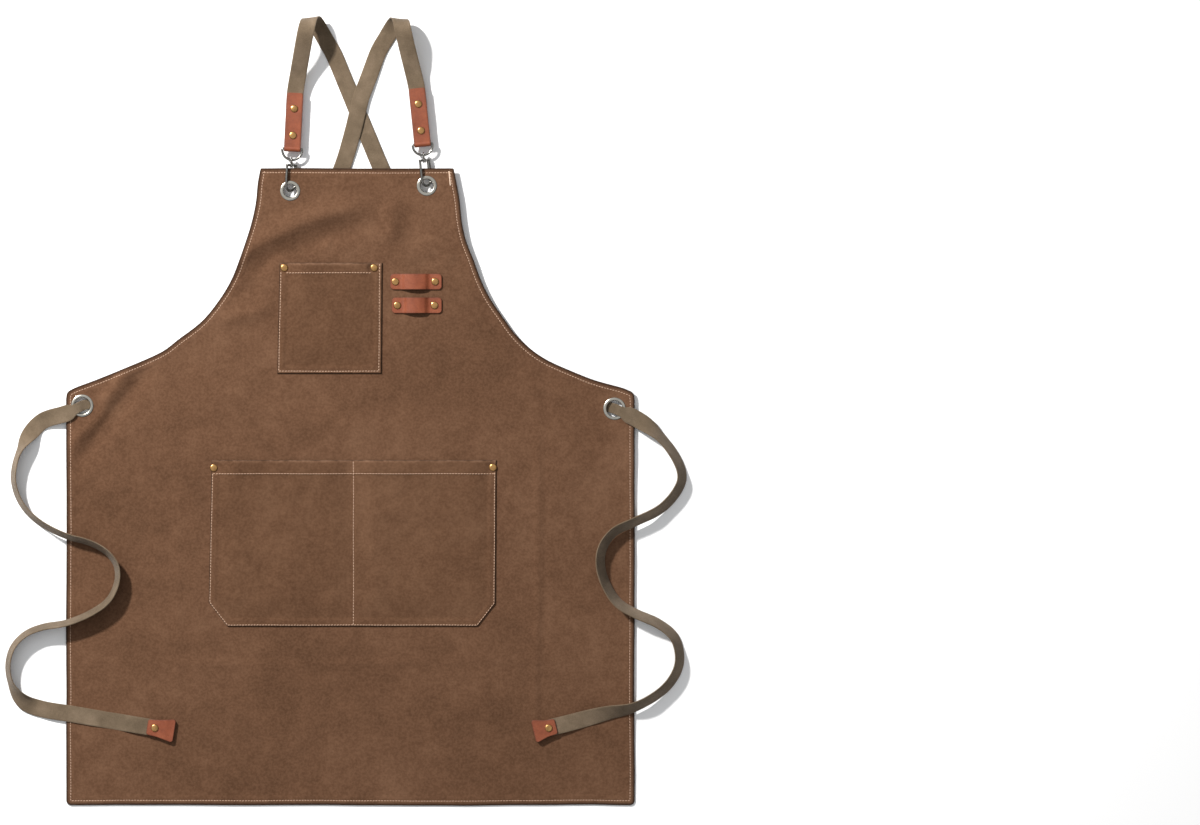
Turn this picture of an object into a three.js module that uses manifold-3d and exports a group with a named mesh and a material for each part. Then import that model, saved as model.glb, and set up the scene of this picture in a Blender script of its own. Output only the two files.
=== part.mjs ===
// Butcher apron: canvas body with a chest pocket, a divided hand pocket, two leather
// tool loops, cross-back webbing straps on swivel bolt snaps, and long waist ties.
// Millimetres. The apron lies on its back on a flat surface: +Z up out of its front,
// +Y towards the straps, +X towards the wearer's left. Z = 0 is the surface.
import * as THREE from 'three';
import { mergeVertices } from 'three/addons/utils/BufferGeometryUtils.js';
import Module from 'manifold-3d';

const wasm = await Module();
wasm.setup();

// ---------------------------------------------------------------- dimensions
const GAP = 0.3;              // clearance between touching pieces
const CLOTH = 1.2;            // canvas thickness
const HALF_WIDTH = 341;       // half the body's width
const BOTTOM_Y = -473;        // lower edge
const TOP_Y = 291;            // upper edge of the bib
const LIE = [[-480, -0.0627], [85.2, 5.0], [217.2, 8.6], [320, 8.6]]; // underside height along Y

// right and left edges from the bib's top corner to the waist corner
const LEFT_EDGE = [[-107.4, 290.4], [-111, 272.4], [-112.2, 253.2], [-117, 229.2], [-124.2, 205.2],
  [-132.6, 181.2], [-142.2, 157.2], [-156.6, 133.2], [-175.8, 109.2], [-190.2, 97.2], [-207, 85.2],
  [-221.4, 73.2], [-246.6, 61.2], [-275.4, 49.2], [-305.4, 37.2], [-333, 26.5], [-339.5, 22], [-341, 14]];
const RIGHT_EDGE = [[124.2, 290.4], [127.8, 272.4], [131.4, 253.2], [133.8, 229.2], [138.6, 205.2],
  [148.2, 181.2], [156.6, 157.2], [168.6, 133.2], [185.4, 109.2], [193.8, 97.2], [204.6, 85.2],
  [217.8, 73.2], [235.8, 61.2], [262.2, 49.2], [292.2, 37.2], [331, 26], [339.5, 21], [341, 13]];

const BIB_EYELET = { inner: 7.8, outer: 12, barrel: 8.3, left: [-72, 264], right: [91.8, 270] };
const WAIST_EYELET = { inner: 9.6, outer: 13.4, barrel: 10.1, left: [-321.5, 6.4], right: [316.8, 2.8] };
const FLANGE = 0.9;           // eyelet flange thickness
const WASHER = 0.6;
const SEAT = 0.15;            // play under flanges and rivet heads

const POUCH = 6.0;            // free depth inside a pocket
const BORDER = 6;             // sewn border of a pocket
const CHEST = [[-84.6, 177.6], [-87.6, 45.6], [-85.6, 45], [37.2, 44.6], [38.4, 46], [38.4, 177.6]];
const CHEST_RIVETS = [[-79.1, 171.6], [28.7, 171.6]];
const HAND = [[-166.2, -58.8], [-169.8, -229.2], [-147, -258], [151.8, -258.6], [174, -230.4], [175, -58.8]];
const HAND_RIVETS = [[-163.8, -68.2], [171, -67.7]];
const HAND_SEAM_X = 3.8;
const RIVET_HEAD = 4.5, RIVET_SHANK = 1.4, RIVET_BACK = 4.0, RIVET_HOLE = 1.75;

const LOOP_LEATHER = 1.8, LOOP_CAVITY = 5.4, LOOP_WIDTH = 19;
const TOOL_LOOPS = {
  upper_tool_loop: { x0: 48, x1: 109.8, y: 155, rivets: [54.1, 101.8] },
  lower_tool_loop: { x0: 49.8, x1: 109.8, y: 126.6, rivets: [56.4, 101] },
};

const WEB_WIDTH = 20, WEB = 1.4;      // webbing
const HOLE_HALF = 6.2;                // half width of webbing gathered in a waist eyelet
const AXIS_Z = LIE[3][1] + CLOTH / 2; // height of the snap hooks' swivel axes

const TAB_LENGTH = 67, TAB_WIDTH = 20, LEAF = 1.8;
const TAB_RIVETS = [16, 48];
const RING_WIRE = 1.5, RING_HALF = 12, RING_DEPTH = 13.5;
const EYE_WIRE = 1.0, EYE_RADIUS = 3.1;
const HOOK_WIRE = 1.5, HOOK_HALF = 6.5, TUBE_R = 2.3, TUBE_BORE = 1.55;
const BOLT_R = 1.3, HOOK_END = -50.4, HOOK_TILT = 50; // degrees off vertical
const YOKE = [-18.3, -21.3], TUBE_END = -34.5, NOSE = -42.3;
const SPRING_R = 1.12, SPRING_WIRE = 0.2, SPRING_TURNS = 5;
const SIDES = {
  left: { turn: -0.05102, eyelet: BIB_EYELET.left },
  right: { turn: 0.10268, eyelet: BIB_EYELET.right },
};

// strap loops: [forward along the limb, across, height] from each loop's outermost point
const LOOPS = {
  left: {
    apex: [-47.3, 470.6], forward: [-0.135, 0.991], across: [0.991, 0.136],
    bend: [[-70, -25.6, 12], [-50, -18.8, 21.5], [-32, -12.6, 30], [-18, -7.8, 33.6], [-8, -4.2, 31],
      [-1.8, -1.5, 25], [0, 0.6, 18.5], [-1.8, 3, 11], [-7.5, 5.8, 4.8], [-16, 9.2, 1.6], [-27, 13.6, 0.85], [-45.2, 20.85, 0.75]],
    back: [[-6, 394, 0.75], [9, 357.6, 0.75], [22.8, 324.4, 0.75], [36.8, 291.1, 0.75], [58, 245, 0.75], [100, 165, 0.75], [160, 78, 0.75], [232, 29, 0.75]],
  },
  right: {
    apex: [59.8, 469.4], forward: [0.109, 0.994], across: [-0.994, 0.109],
    bend: [[-64, -23.5, 11], [-46, -17, 18], [-30, -11.3, 24], [-17, -6.8, 27], [-7.5, -3.6, 25], [-1.7, -1.2, 20],
      [0, 1, 14.5], [-1.8, 3.4, 8.5], [-7, 6.5, 3.6], [-15, 10.5, 1.4], [-25, 15, 0.8], [-39.7, 21.5, 0.8]],
    back: [[20.4, 396, 1.9], [13.8, 379.2, 2.7], [8.4, 357.6, 2.7], [3.4, 337, 2.7], [-3, 314, 1.7], [-10.4, 291.1, 0.85],
      [-34, 245, 0.75], [-88, 165, 0.75], [-154, 80, 0.75], [-232, 32, 0.75]],
  },
};

// ties, in plan, from the waist eyelet to the leather tip; where they snake they stand this steeply, in degrees
const TIES = {
  left: {
    plan: [[-321.5, 6.4], [-339.6, -2.6], [-369, -12], [-386.2, -30], [-400.2, -57.6], [-403.3, -85.2], [-393, -112.8],
      [-372.6, -133.2], [-339.6, -150], [-313.8, -157.2], [-293.4, -168], [-280.2, -184.8], [-279.4, -205.2],
      [-289.8, -226.8], [-310.2, -241.8], [-339.6, -253.9], [-369, -259.2], [-389.4, -267.6], [-405, -284.4],
      [-410.3, -309], [-403.8, -333.1], [-389.4, -350.4], [-369, -357.8], [-339.6, -362.6], [-300.6, -369.2], [-262, -375.6], [-223.8, -381.8]],
    flat: [60, 100, 517, 572], lean: 1, stand: 70, tipLength: 33,
  },
  right: {
    plan: [[316.8, 2.8], [344.6, -10.4], [366.6, -26.2], [385.4, -48], [395.4, -67], [397.8, -80], [391.8, -96],
      [372.6, -117.1], [341.4, -132.8], [316.2, -145.2], [302.3, -164.2], [300, -186], [306.6, -208.1], [321, -230],
      [341.4, -242.4], [369.7, -255.2], [388.2, -270.8], [394.8, -292.8], [391.8, -311.6], [376.2, -333.6],
      [341.4, -354.6], [306.6, -362.4], [266, -373.2], [227.5, -382.6]],
    flat: [25, 70, 500, 606], lean: -1, stand: 58, tipLength: 28,
  },
};
const TIP_WIDTH = 28, TIP_LEAF = 1.5, TIP_RISE = 1.35;

// ---------------------------------------------------------------- materials
const mat = (color, roughness, metalness = 0) => new THREE.MeshStandardMaterial({ color, roughness, metalness });
const canvas = mat(0x6f513c, 0.95), webbing = mat(0x75604c, 0.9), leather = mat(0xa25f42, 0.6);
const brass = mat(0xb08d57, 0.35, 1), nickel = mat(0xc8c8c6, 0.25, 1), steel = mat(0xa8a8a8, 0.3, 1);

// ---------------------------------------------------------------- helpers
const apron = new THREE.Group();
const lie = (y) => {
  for (let i = 1; i < LIE.length; i++) {
    if (y <= LIE[i][0] || i === LIE.length - 1) {
      const [y0, z0] = LIE[i - 1], [y1, z1] = LIE[i];
      return z0 + (z1 - z0) * (y - y0) / (y1 - y0);
    }
  }
};

function bare(geometry) {
  const g = geometry.index ? geometry.toNonIndexed() : geometry.clone();
  for (const key of Object.keys(g.attributes)) if (key !== 'position') g.deleteAttribute(key);
  const merged = mergeVertices(g, 1e-4);
  const p = merged.attributes.position, ix = Array.from(merged.index.array), keep = [];
  for (let i = 0; i < ix.length; i += 3) {
    if (ix[i] !== ix[i + 1] && ix[i + 1] !== ix[i + 2] && ix[i] !== ix[i + 2]) keep.push(ix[i], ix[i + 1], ix[i + 2]);
  }
  let volume = 0;
  const v = [0, 1, 2].map(() => new THREE.Vector3());
  for (let i = 0; i < keep.length; i += 3) {
    v.forEach((w, k) => w.fromBufferAttribute(p, keep[i + k]));
    volume += v[0].dot(v[1].clone().cross(v[2]));
  }
  if (volume < 0) for (let i = 0; i < keep.length; i += 3) [keep[i + 1], keep[i + 2]] = [keep[i + 2], keep[i + 1]];
  merged.setIndex(keep);
  return merged;
}

function solid(geometry) {
  const g = bare(geometry);
  return new wasm.Manifold(new wasm.Mesh({
    numProp: 3,
    vertProperties: Float32Array.from(g.attributes.position.array),
    triVerts: Uint32Array.from(g.index.array),
  }));
}

function geometryOf(manifold) {
  const m = manifold.getMesh();
  const g = new THREE.BufferGeometry(), n = m.numProp, pos = [];
  for (let i = 0; i < m.vertProperties.length; i += n) pos.push(m.vertProperties[i], m.vertProperties[i + 1], m.vertProperties[i + 2]);
  g.setAttribute('position', new THREE.Float32BufferAttribute(pos, 3));
  g.setIndex(Array.from(m.triVerts));
  return g;
}

function add(name, geometry, material, parent = apron) {
  const g = bare(geometry);
  g.computeVertexNormals();
  const mesh = new THREE.Mesh(g, material);
  mesh.name = name;
  parent.add(mesh);
  return mesh;
}

const polygon = (points) => new THREE.Shape(points.map(([x, y]) => new THREE.Vector2(x, y)));
function prism(points, z0, z1) {
  const g = new THREE.ExtrudeGeometry(polygon(points), { depth: z1 - z0, bevelEnabled: false, steps: 1 });
  return g.translate(0, 0, z0);
}
// a side profile (y, z) carried from x0 to x1
function profile(points, x0, x1) {
  const g = new THREE.ExtrudeGeometry(polygon(points), { depth: x1 - x0, bevelEnabled: false, steps: 1 }), p = g.attributes.position;
  for (let i = 0; i < p.count; i++) p.setXYZ(i, p.getZ(i) + x0, p.getX(i), p.getY(i));
  return g;
}
const rod = (r, y0, y1, x, z, n = 12) => new THREE.CylinderGeometry(r, r, Math.abs(y1 - y0), n).translate(x, (y0 + y1) / 2, z);
const pin = (r, x, y, z0, z1, n = 12) => new THREE.CylinderGeometry(r, r, z1 - z0, n).rotateX(Math.PI / 2).translate(x, y, (z0 + z1) / 2);
// follow the cloth: heights are given above the underside of the cloth
function onCloth(g) {
  const p = g.attributes.position;
  for (let i = 0; i < p.count; i++) p.setZ(i, p.getZ(i) + lie(p.getY(i)));
  return g;
}

// a run of stations, each with its own place and section directions
class Route extends THREE.Curve {
  constructor(stations) { super(); this.stations = stations; }
  getPoint(t, target = new THREE.Vector3()) {
    const n = this.stations.length - 1, f = Math.min(t * n, n - 1e-9), i = Math.floor(f);
    return target.copy(this.stations[i].p).lerp(this.stations[i + 1].p, f - i);
  }
  getSpacedPoints() { return this.stations.map((s) => s.p.clone()); }
  computeFrenetFrames() {
    return {
      tangents: this.stations.map((s) => s.t.clone()),
      normals: this.stations.map((s) => s.w.clone().multiplyScalar(s.scale ?? 1)),
      binormals: this.stations.map((s) => s.t.clone().cross(s.w)),
    };
  }
}
function sweep(section, stations) {
  return new THREE.ExtrudeGeometry(polygon(section), { extrudePath: new Route(stations), steps: stations.length - 1, bevelEnabled: false });
}
const ring = (r, n) => Array.from({ length: n }, (_, i) => [r * Math.cos((2 * Math.PI * i) / n), r * Math.sin((2 * Math.PI * i) / n)]);
const STRIP = [[-WEB_WIDTH / 2, -WEB / 2], [WEB_WIDTH / 2, -WEB / 2], [WEB_WIDTH / 2, WEB / 2], [-WEB_WIDTH / 2, WEB / 2]];
const V = (x, y, z) => new THREE.Vector3(x, y, z);

function wire(points, r, n, across) {
  const stations = points.map((p, i) => {
    const t = points[Math.min(i + 1, points.length - 1)].clone().sub(points[Math.max(i - 1, 0)]).normalize();
    const w = across.clone().addScaledVector(t, -across.dot(t)).normalize();
    return { p, t, w };
  });
  return sweep(ring(r, n), stations);
}

// ---------------------------------------------------------------- canvas body
const outline = [...LEFT_EDGE.slice().reverse(), [-106, TOP_Y], [122.5, TOP_Y], ...RIGHT_EDGE,
  [HALF_WIDTH, -468], [HALF_WIDTH - 1.5, -471.5], [HALF_WIDTH - 5, BOTTOM_Y], [5 - HALF_WIDTH, BOTTOM_Y], [1.5 - HALF_WIDTH, -471.5], [-HALF_WIDTH, -468]].reverse();
const lieProfile = [...LIE.map(([y, z]) => [y, z]), ...LIE.slice().reverse().map(([y, z]) => [y, z + CLOTH])];
let body = solid(profile(lieProfile, -360, 360)).intersect(solid(prism(outline, -3, 20)));
const drill = (m, x, y, r, n = 8) => m.subtract(solid(pin(r, x, y, -20, 40, n)));

const rivetList = [];
CHEST_RIVETS.forEach(([x, y], i) => rivetList.push([`chest_pocket_rivet_${'lr'[i]}`, x, y]));
HAND_RIVETS.forEach(([x, y], i) => rivetList.push([`hand_pocket_rivet_${'lr'[i]}`, x, y]));
for (const [name, l] of Object.entries(TOOL_LOOPS)) l.rivets.forEach((x, i) => rivetList.push([`${name}_rivet_${'lr'[i]}`, x, l.y]));
for (const [, x, y] of rivetList) body = drill(body, x, y, RIVET_HOLE);
for (const e of [BIB_EYELET, WAIST_EYELET]) for (const side of ['left', 'right']) body = drill(body, ...e[side], e.barrel + 0.45, 18);
add('canvas_body', geometryOf(body), canvas);

// rivet: domed cap, shank and back plate, one turned piece
function rivet(name, x, y, z0, z1, material, parent = apron, follow = true) {
  const g = new THREE.LatheGeometry([[0, z0 - SEAT - 0.9], [3.4, z0 - SEAT - 0.85], [RIVET_BACK, z0 - SEAT], [RIVET_SHANK, z0 - SEAT],
    [RIVET_SHANK, z1 + SEAT], [RIVET_HEAD, z1 + SEAT], [4.1, z1 + SEAT + 0.75], [2.6, z1 + SEAT + 1.3], [0, z1 + SEAT + 1.5]]
    .map(([r, z]) => new THREE.Vector2(r, z)), 10).rotateX(Math.PI / 2).translate(x, y, 0);
  return add(name, follow ? onCloth(g) : g, material, parent);
}

// ---------------------------------------------------------------- pockets
const floorOf = CLOTH + GAP;
// inverted tray sewn on by its border: sides and foot closed, mouth open
function pouch(name, rim, cavities, rivets) {
  let m = solid(prism(rim, floorOf, floorOf + POUCH + CLOTH));
  for (const c of cavities) m = m.subtract(solid(prism(c, -5, floorOf + POUCH)));
  for (const [x, y] of rivets) {
    // the border is pressed flat under each rivet
    m = m.subtract(solid(prism([[x - 5.6, y - 5.6], [x + 5.6, y - 5.6], [x + 5.6, y + 5.6], [x - 5.6, y + 5.6]].map(([a, b]) => [a, Math.min(b, 400)]), floorOf + CLOTH, 30)));
    m = drill(m, x, y, RIVET_HOLE);
  }
  add(name, onCloth(geometryOf(m)), canvas);
}
pouch('chest_pocket', CHEST, [[[-73, 190], [-73, 51.5], [22.6, 51.5], [22.6, 190]]], CHEST_RIVETS);
pouch('hand_pocket', HAND, [
  [[-157.5, -40], [-157.5, -226], [-143, -251.5], [HAND_SEAM_X - 2.5, -251.5], [HAND_SEAM_X - 2.5, -40]],
  [[HAND_SEAM_X + 2.5, -40], [HAND_SEAM_X + 2.5, -251.5], [148, -251.5], [165, -227], [165, -40]],
], HAND_RIVETS);

// ---------------------------------------------------------------- tool loops
for (const [name, l] of Object.entries(TOOL_LOOPS)) {
  const z = floorOf, top = z + LOOP_CAVITY + LOOP_LEATHER, t = LOOP_LEATHER;
  const x0 = l.x0, x1 = l.x1, a = l.rivets[0] + 5.6, b = l.rivets[1] - 5.6;
  const side = [[x0, z], [a + 1.2, z], [a + 4, z + LOOP_CAVITY], [b - 4, z + LOOP_CAVITY], [b - 1.2, z], [x1, z], [x1, z + t],
    [b, z + t], [b - 3, top], [a + 3, top], [a, z + t], [x0, z + t]];
  const g = new THREE.ExtrudeGeometry(polygon(side), { depth: LOOP_WIDTH, bevelEnabled: false }), p = g.attributes.position;
  for (let i = 0; i < p.count; i++) p.setXYZ(i, p.getX(i), l.y + LOOP_WIDTH / 2 - p.getZ(i), p.getY(i));
  const c = 4, y0 = l.y - LOOP_WIDTH / 2, y1 = l.y + LOOP_WIDTH / 2;
  let m = solid(g).intersect(solid(prism([[x0 + c, y0], [x1 - c, y0], [x1, y0 + c], [x1, y1 - c], [x1 - c, y1], [x0 + c, y1], [x0, y1 - c], [x0, y0 + c]], -5, 30)));
  for (const x of l.rivets) m = drill(m, x, l.y, RIVET_HOLE);
  add(name, onCloth(geometryOf(m)), leather);
}

// ---------------------------------------------------------------- set rivets on the cloth
for (const [name, x, y] of rivetList) {
  const top = name.includes('tool_loop') ? floorOf + LOOP_LEATHER : floorOf + CLOTH;
  rivet(name, x, y, 0, top, brass);
}

// ---------------------------------------------------------------- eyelets and washers
function eyelet(name, [x, y], e) {
  const z0 = -SEAT - WASHER - 0.35, z1 = CLOTH + SEAT;
  add(`${name}_eyelet`, onCloth(new THREE.LatheGeometry([[e.inner, z0], [e.barrel, z0], [e.barrel, z1], [e.outer, z1], [e.outer - 0.5, z1 + 0.6],
    [(e.inner + e.outer) / 2, z1 + FLANGE], [e.inner + 0.5, z1 + FLANGE - 0.25], [e.inner, z1], [e.inner, z0]].map(([r, z]) => new THREE.Vector2(r, z)), 18)
    .rotateX(Math.PI / 2).translate(x, y, 0)), nickel);
  add(`${name}_washer`, onCloth(new THREE.LatheGeometry([[e.barrel + GAP, -SEAT - WASHER], [e.outer, -SEAT - WASHER], [e.outer, -SEAT],
    [e.barrel + GAP, -SEAT], [e.barrel + GAP, -SEAT - WASHER]].map(([r, z]) => new THREE.Vector2(r, z)), 18)
    .rotateX(Math.PI / 2).translate(x, y, 0)), nickel);
}
for (const side of ['left', 'right']) {
  eyelet(`${side}_bib`, BIB_EYELET[side], BIB_EYELET);
  eyelet(`${side}_waist`, WAIST_EYELET[side], WAIST_EYELET);
}

// ---------------------------------------------------------------- straps
const other = { left: 'right', right: 'left' };
const barOf = (side) => {
  const s = SIDES[side], u = [-Math.sin(s.turn), Math.cos(s.turn)];
  return { u, at: [s.eyelet[0] - HOOK_END * u[0], s.eyelet[1] - HOOK_END * u[1]] };
};

function stationsOf(points, across, count, blend = () => 1) {
  const curve = new THREE.CatmullRomCurve3(points, false, 'centripetal');
  curve.arcLengthDivisions = 4000;
  const total = curve.getLength(), list = [];
  const steps = count.map((s) => s / total);
  for (const u of steps) {
    const p = curve.getPointAt(Math.min(1, u)), t = curve.getTangentAt(Math.min(1, u));
    p.z = Math.max(p.z, WEB / 2 + 0.02);
    const level = V(-t.y, t.x, 0).normalize();
    if (level.dot(across) < 0) level.negate();
    const h = level.lerp(across, blend(u * total)).normalize();
    list.push({ p, t, w: h.addScaledVector(t, -h.dot(t)).normalize(), s: u * total });
  }
  return { list, total };
}
const smooth = (x) => { const c = Math.min(1, Math.max(0, x)); return c * c * (3 - 2 * c); };

export const routes = {};
for (const side of ['left', 'right']) {
  const { u, at } = barOf(side), loop = LOOPS[side], waist = WAIST_EYELET[other[side]];
  const inTab = (y) => V(at[0] + y * u[0], at[1] + y * u[1], AXIS_Z);
  const place = ([f, a, z]) => V(loop.apex[0] + f * loop.forward[0] + a * loop.across[0], loop.apex[1] + f * loop.forward[1] + a * loop.across[1], z);
  const last = loop.back[loop.back.length - 1], dir = V(waist[0] - last[0], waist[1] - last[1], 0).normalize();
  const before = (d, z) => V(waist[0] - d * dir.x, waist[1] - d * dir.y, z);
  const zc = lie(waist[1]) + CLOTH / 2;
  const points = [inTab(6), inTab(25), inTab(45), inTab(67), ...loop.bend.map(place), ...loop.back.map((p) => V(...p)),
    before(60, 0.75), before(34, 0.85), before(18, zc - 3.5), before(8.5, zc - 3.15), before(0.15, zc - 0.1)];
  const probe = new THREE.CatmullRomCurve3(points, false, 'centripetal');
  probe.arcLengthDivisions = 4000;
  const L = probe.getLength(), marks = [];
  let s = 0;
  while (s < L - 4) {
    marks.push(s);
    s += s < 58 ? 29 : s < 90 ? 12 : s < 230 ? 6.5 : s < 400 ? 18 : s < L - 75 ? 24 : s < L - 42 ? 14 : 6;
  }
  marks.push(L);
  const across = V(loop.across[0], loop.across[1], 0);
  const { list } = stationsOf(points, across, marks, (q) => smooth((q - 70) / 30) * smooth((300 - q) / 40));
  for (const st of list) {
    const d = L - st.s;
    st.scale = 1 + (HOLE_HALF / 10 - 1) * smooth((20 - d) / 9);
  }
  routes[`${side}_strap`] = list;
  let m = solid(sweep(STRIP, list));
  for (const y of TAB_RIVETS) m = drill(m, at[0] + y * u[0], at[1] + y * u[1], RIVET_HOLE);
  add(`${side}_shoulder_strap`, geometryOf(m), webbing);
}

// ---------------------------------------------------------------- ties
for (const side of ['left', 'right']) {
  const tie = TIES[side], waist = WAIST_EYELET[side], cross = other[side];
  const strap = routes[`${cross}_strap`], end = strap[strap.length - 1];
  const plan = new THREE.CatmullRomCurve3(tie.plan.map(([x, y]) => V(x, y, 0)), false, 'centripetal');
  plan.arcLengthDivisions = 4000;
  const L = plan.getLength(), marks = [];
  let s = 0.3;
  while (s < L - 5) { marks.push(s); s += s < 40 ? 5 : s > L - 60 ? 14 : 10.5; }
  marks.push(L);
  const [f0, f1, f2, f3] = tie.flat, list = [];
  const deck = (x, y) => (lie(y) + CLOTH + GAP) * smooth((378 - Math.abs(x)) / 30);
  for (const q of marks) {
    const p = plan.getPointAt(q / L), t = plan.getTangentAt(q / L);
    const lean = (tie.stand * Math.PI / 180) * smooth((q - f0) / (f1 - f0)) * smooth((f3 - q) / (f3 - f2));
    const level = V(-t.y, t.x, 0).normalize();
    const w = level.clone().multiplyScalar(Math.cos(lean)).add(V(0, 0, tie.lean * Math.sin(lean)));
    const half = 10 * Math.sin(lean) + (WEB / 2) * Math.cos(lean);
    let z = deck(p.x, p.y) + half;
    const d = Math.hypot(p.x - waist[0], p.y - waist[1]);
    if (q < 60) {
      const zc = lie(waist[1]) + CLOTH / 2;
      const rise = zc + (2.9 + 0.35) * smooth(d / 7.4);        // up through the hole, over the flange
      const over = smooth((d - 15) / 26);
      z = rise * (1 - over) + Math.max(z, 0.75) * over;
    }
    const tipUp = smooth((q - (L - 60)) / 30) * (TIP_RISE + TIP_LEAF + 0.3 - GAP);
    p.z = z + tipUp;
    list.push({ p, t, w, s: q, scale: 1 + (HOLE_HALF / 10 - 1) * smooth((18 - q) / 8) });
  }
  for (let i = 0; i < list.length; i++) {
    const a = list[Math.max(0, i - 1)].p, b = list[Math.min(list.length - 1, i + 1)].p;
    list[i].t = b.clone().sub(a).normalize();
    list[i].w.addScaledVector(list[i].t, -list[i].w.dot(list[i].t)).normalize();
  }
  // the tie carries on from the strap in the eyelet, square across it
  list[0].t = end.t.clone();
  list[0].p = end.p.clone().addScaledVector(end.t, GAP + 0.05);
  list[0].w = end.w.clone().multiplyScalar(Math.sign(end.w.dot(list[1].w)) || 1);
  routes[`${side}_tie`] = list;
  // leather tip folded over the end and riveted
  const e = list[list.length - 1], flat = Math.atan2(e.t.y, e.t.x), inside = 20;
  const tip = new THREE.Group();
  tip.position.set(e.p.x, e.p.y, 0);
  tip.rotation.z = flat;
  apron.add(tip);
  const z0 = e.p.z - WEB / 2 - GAP - TIP_LEAF, z1 = e.p.z + WEB / 2 + GAP + TIP_LEAF, far = tie.tipLength - inside;
  const shape = [[-inside, -9.2], [-inside + 13, -10.3], [far - 3, -TIP_WIDTH / 2 + 0.3], [far, -TIP_WIDTH / 2 + 2.5], [far, TIP_WIDTH / 2 - 2.5], [far - 3, TIP_WIDTH / 2 - 0.3], [-inside + 13, 10.3], [-inside, 9.2]];
  let m = solid(prism(shape, z0, z1));
  m = m.subtract(solid(prism([[-inside - 5, -20], [GAP + 0.5, -20], [GAP + 0.5, 20], [-inside - 5, 20]], e.p.z - WEB / 2 - GAP, e.p.z + WEB / 2 + GAP)));
  const rx = -inside + 9.3;
  m = drill(m, rx, 0, RIVET_HOLE);
  add(`${side}_tie_tip`, geometryOf(m), leather, tip);
  rivet(`${side}_tie_tip_rivet`, rx, 0, z0, z1, brass, tip, false);
  const hx = e.p.x + rx * Math.cos(flat), hy = e.p.y + rx * Math.sin(flat);
  add(`${side}_tie`, geometryOf(drill(solid(sweep(STRIP, list)), hx, hy, RIVET_HOLE)), webbing);
}

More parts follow.
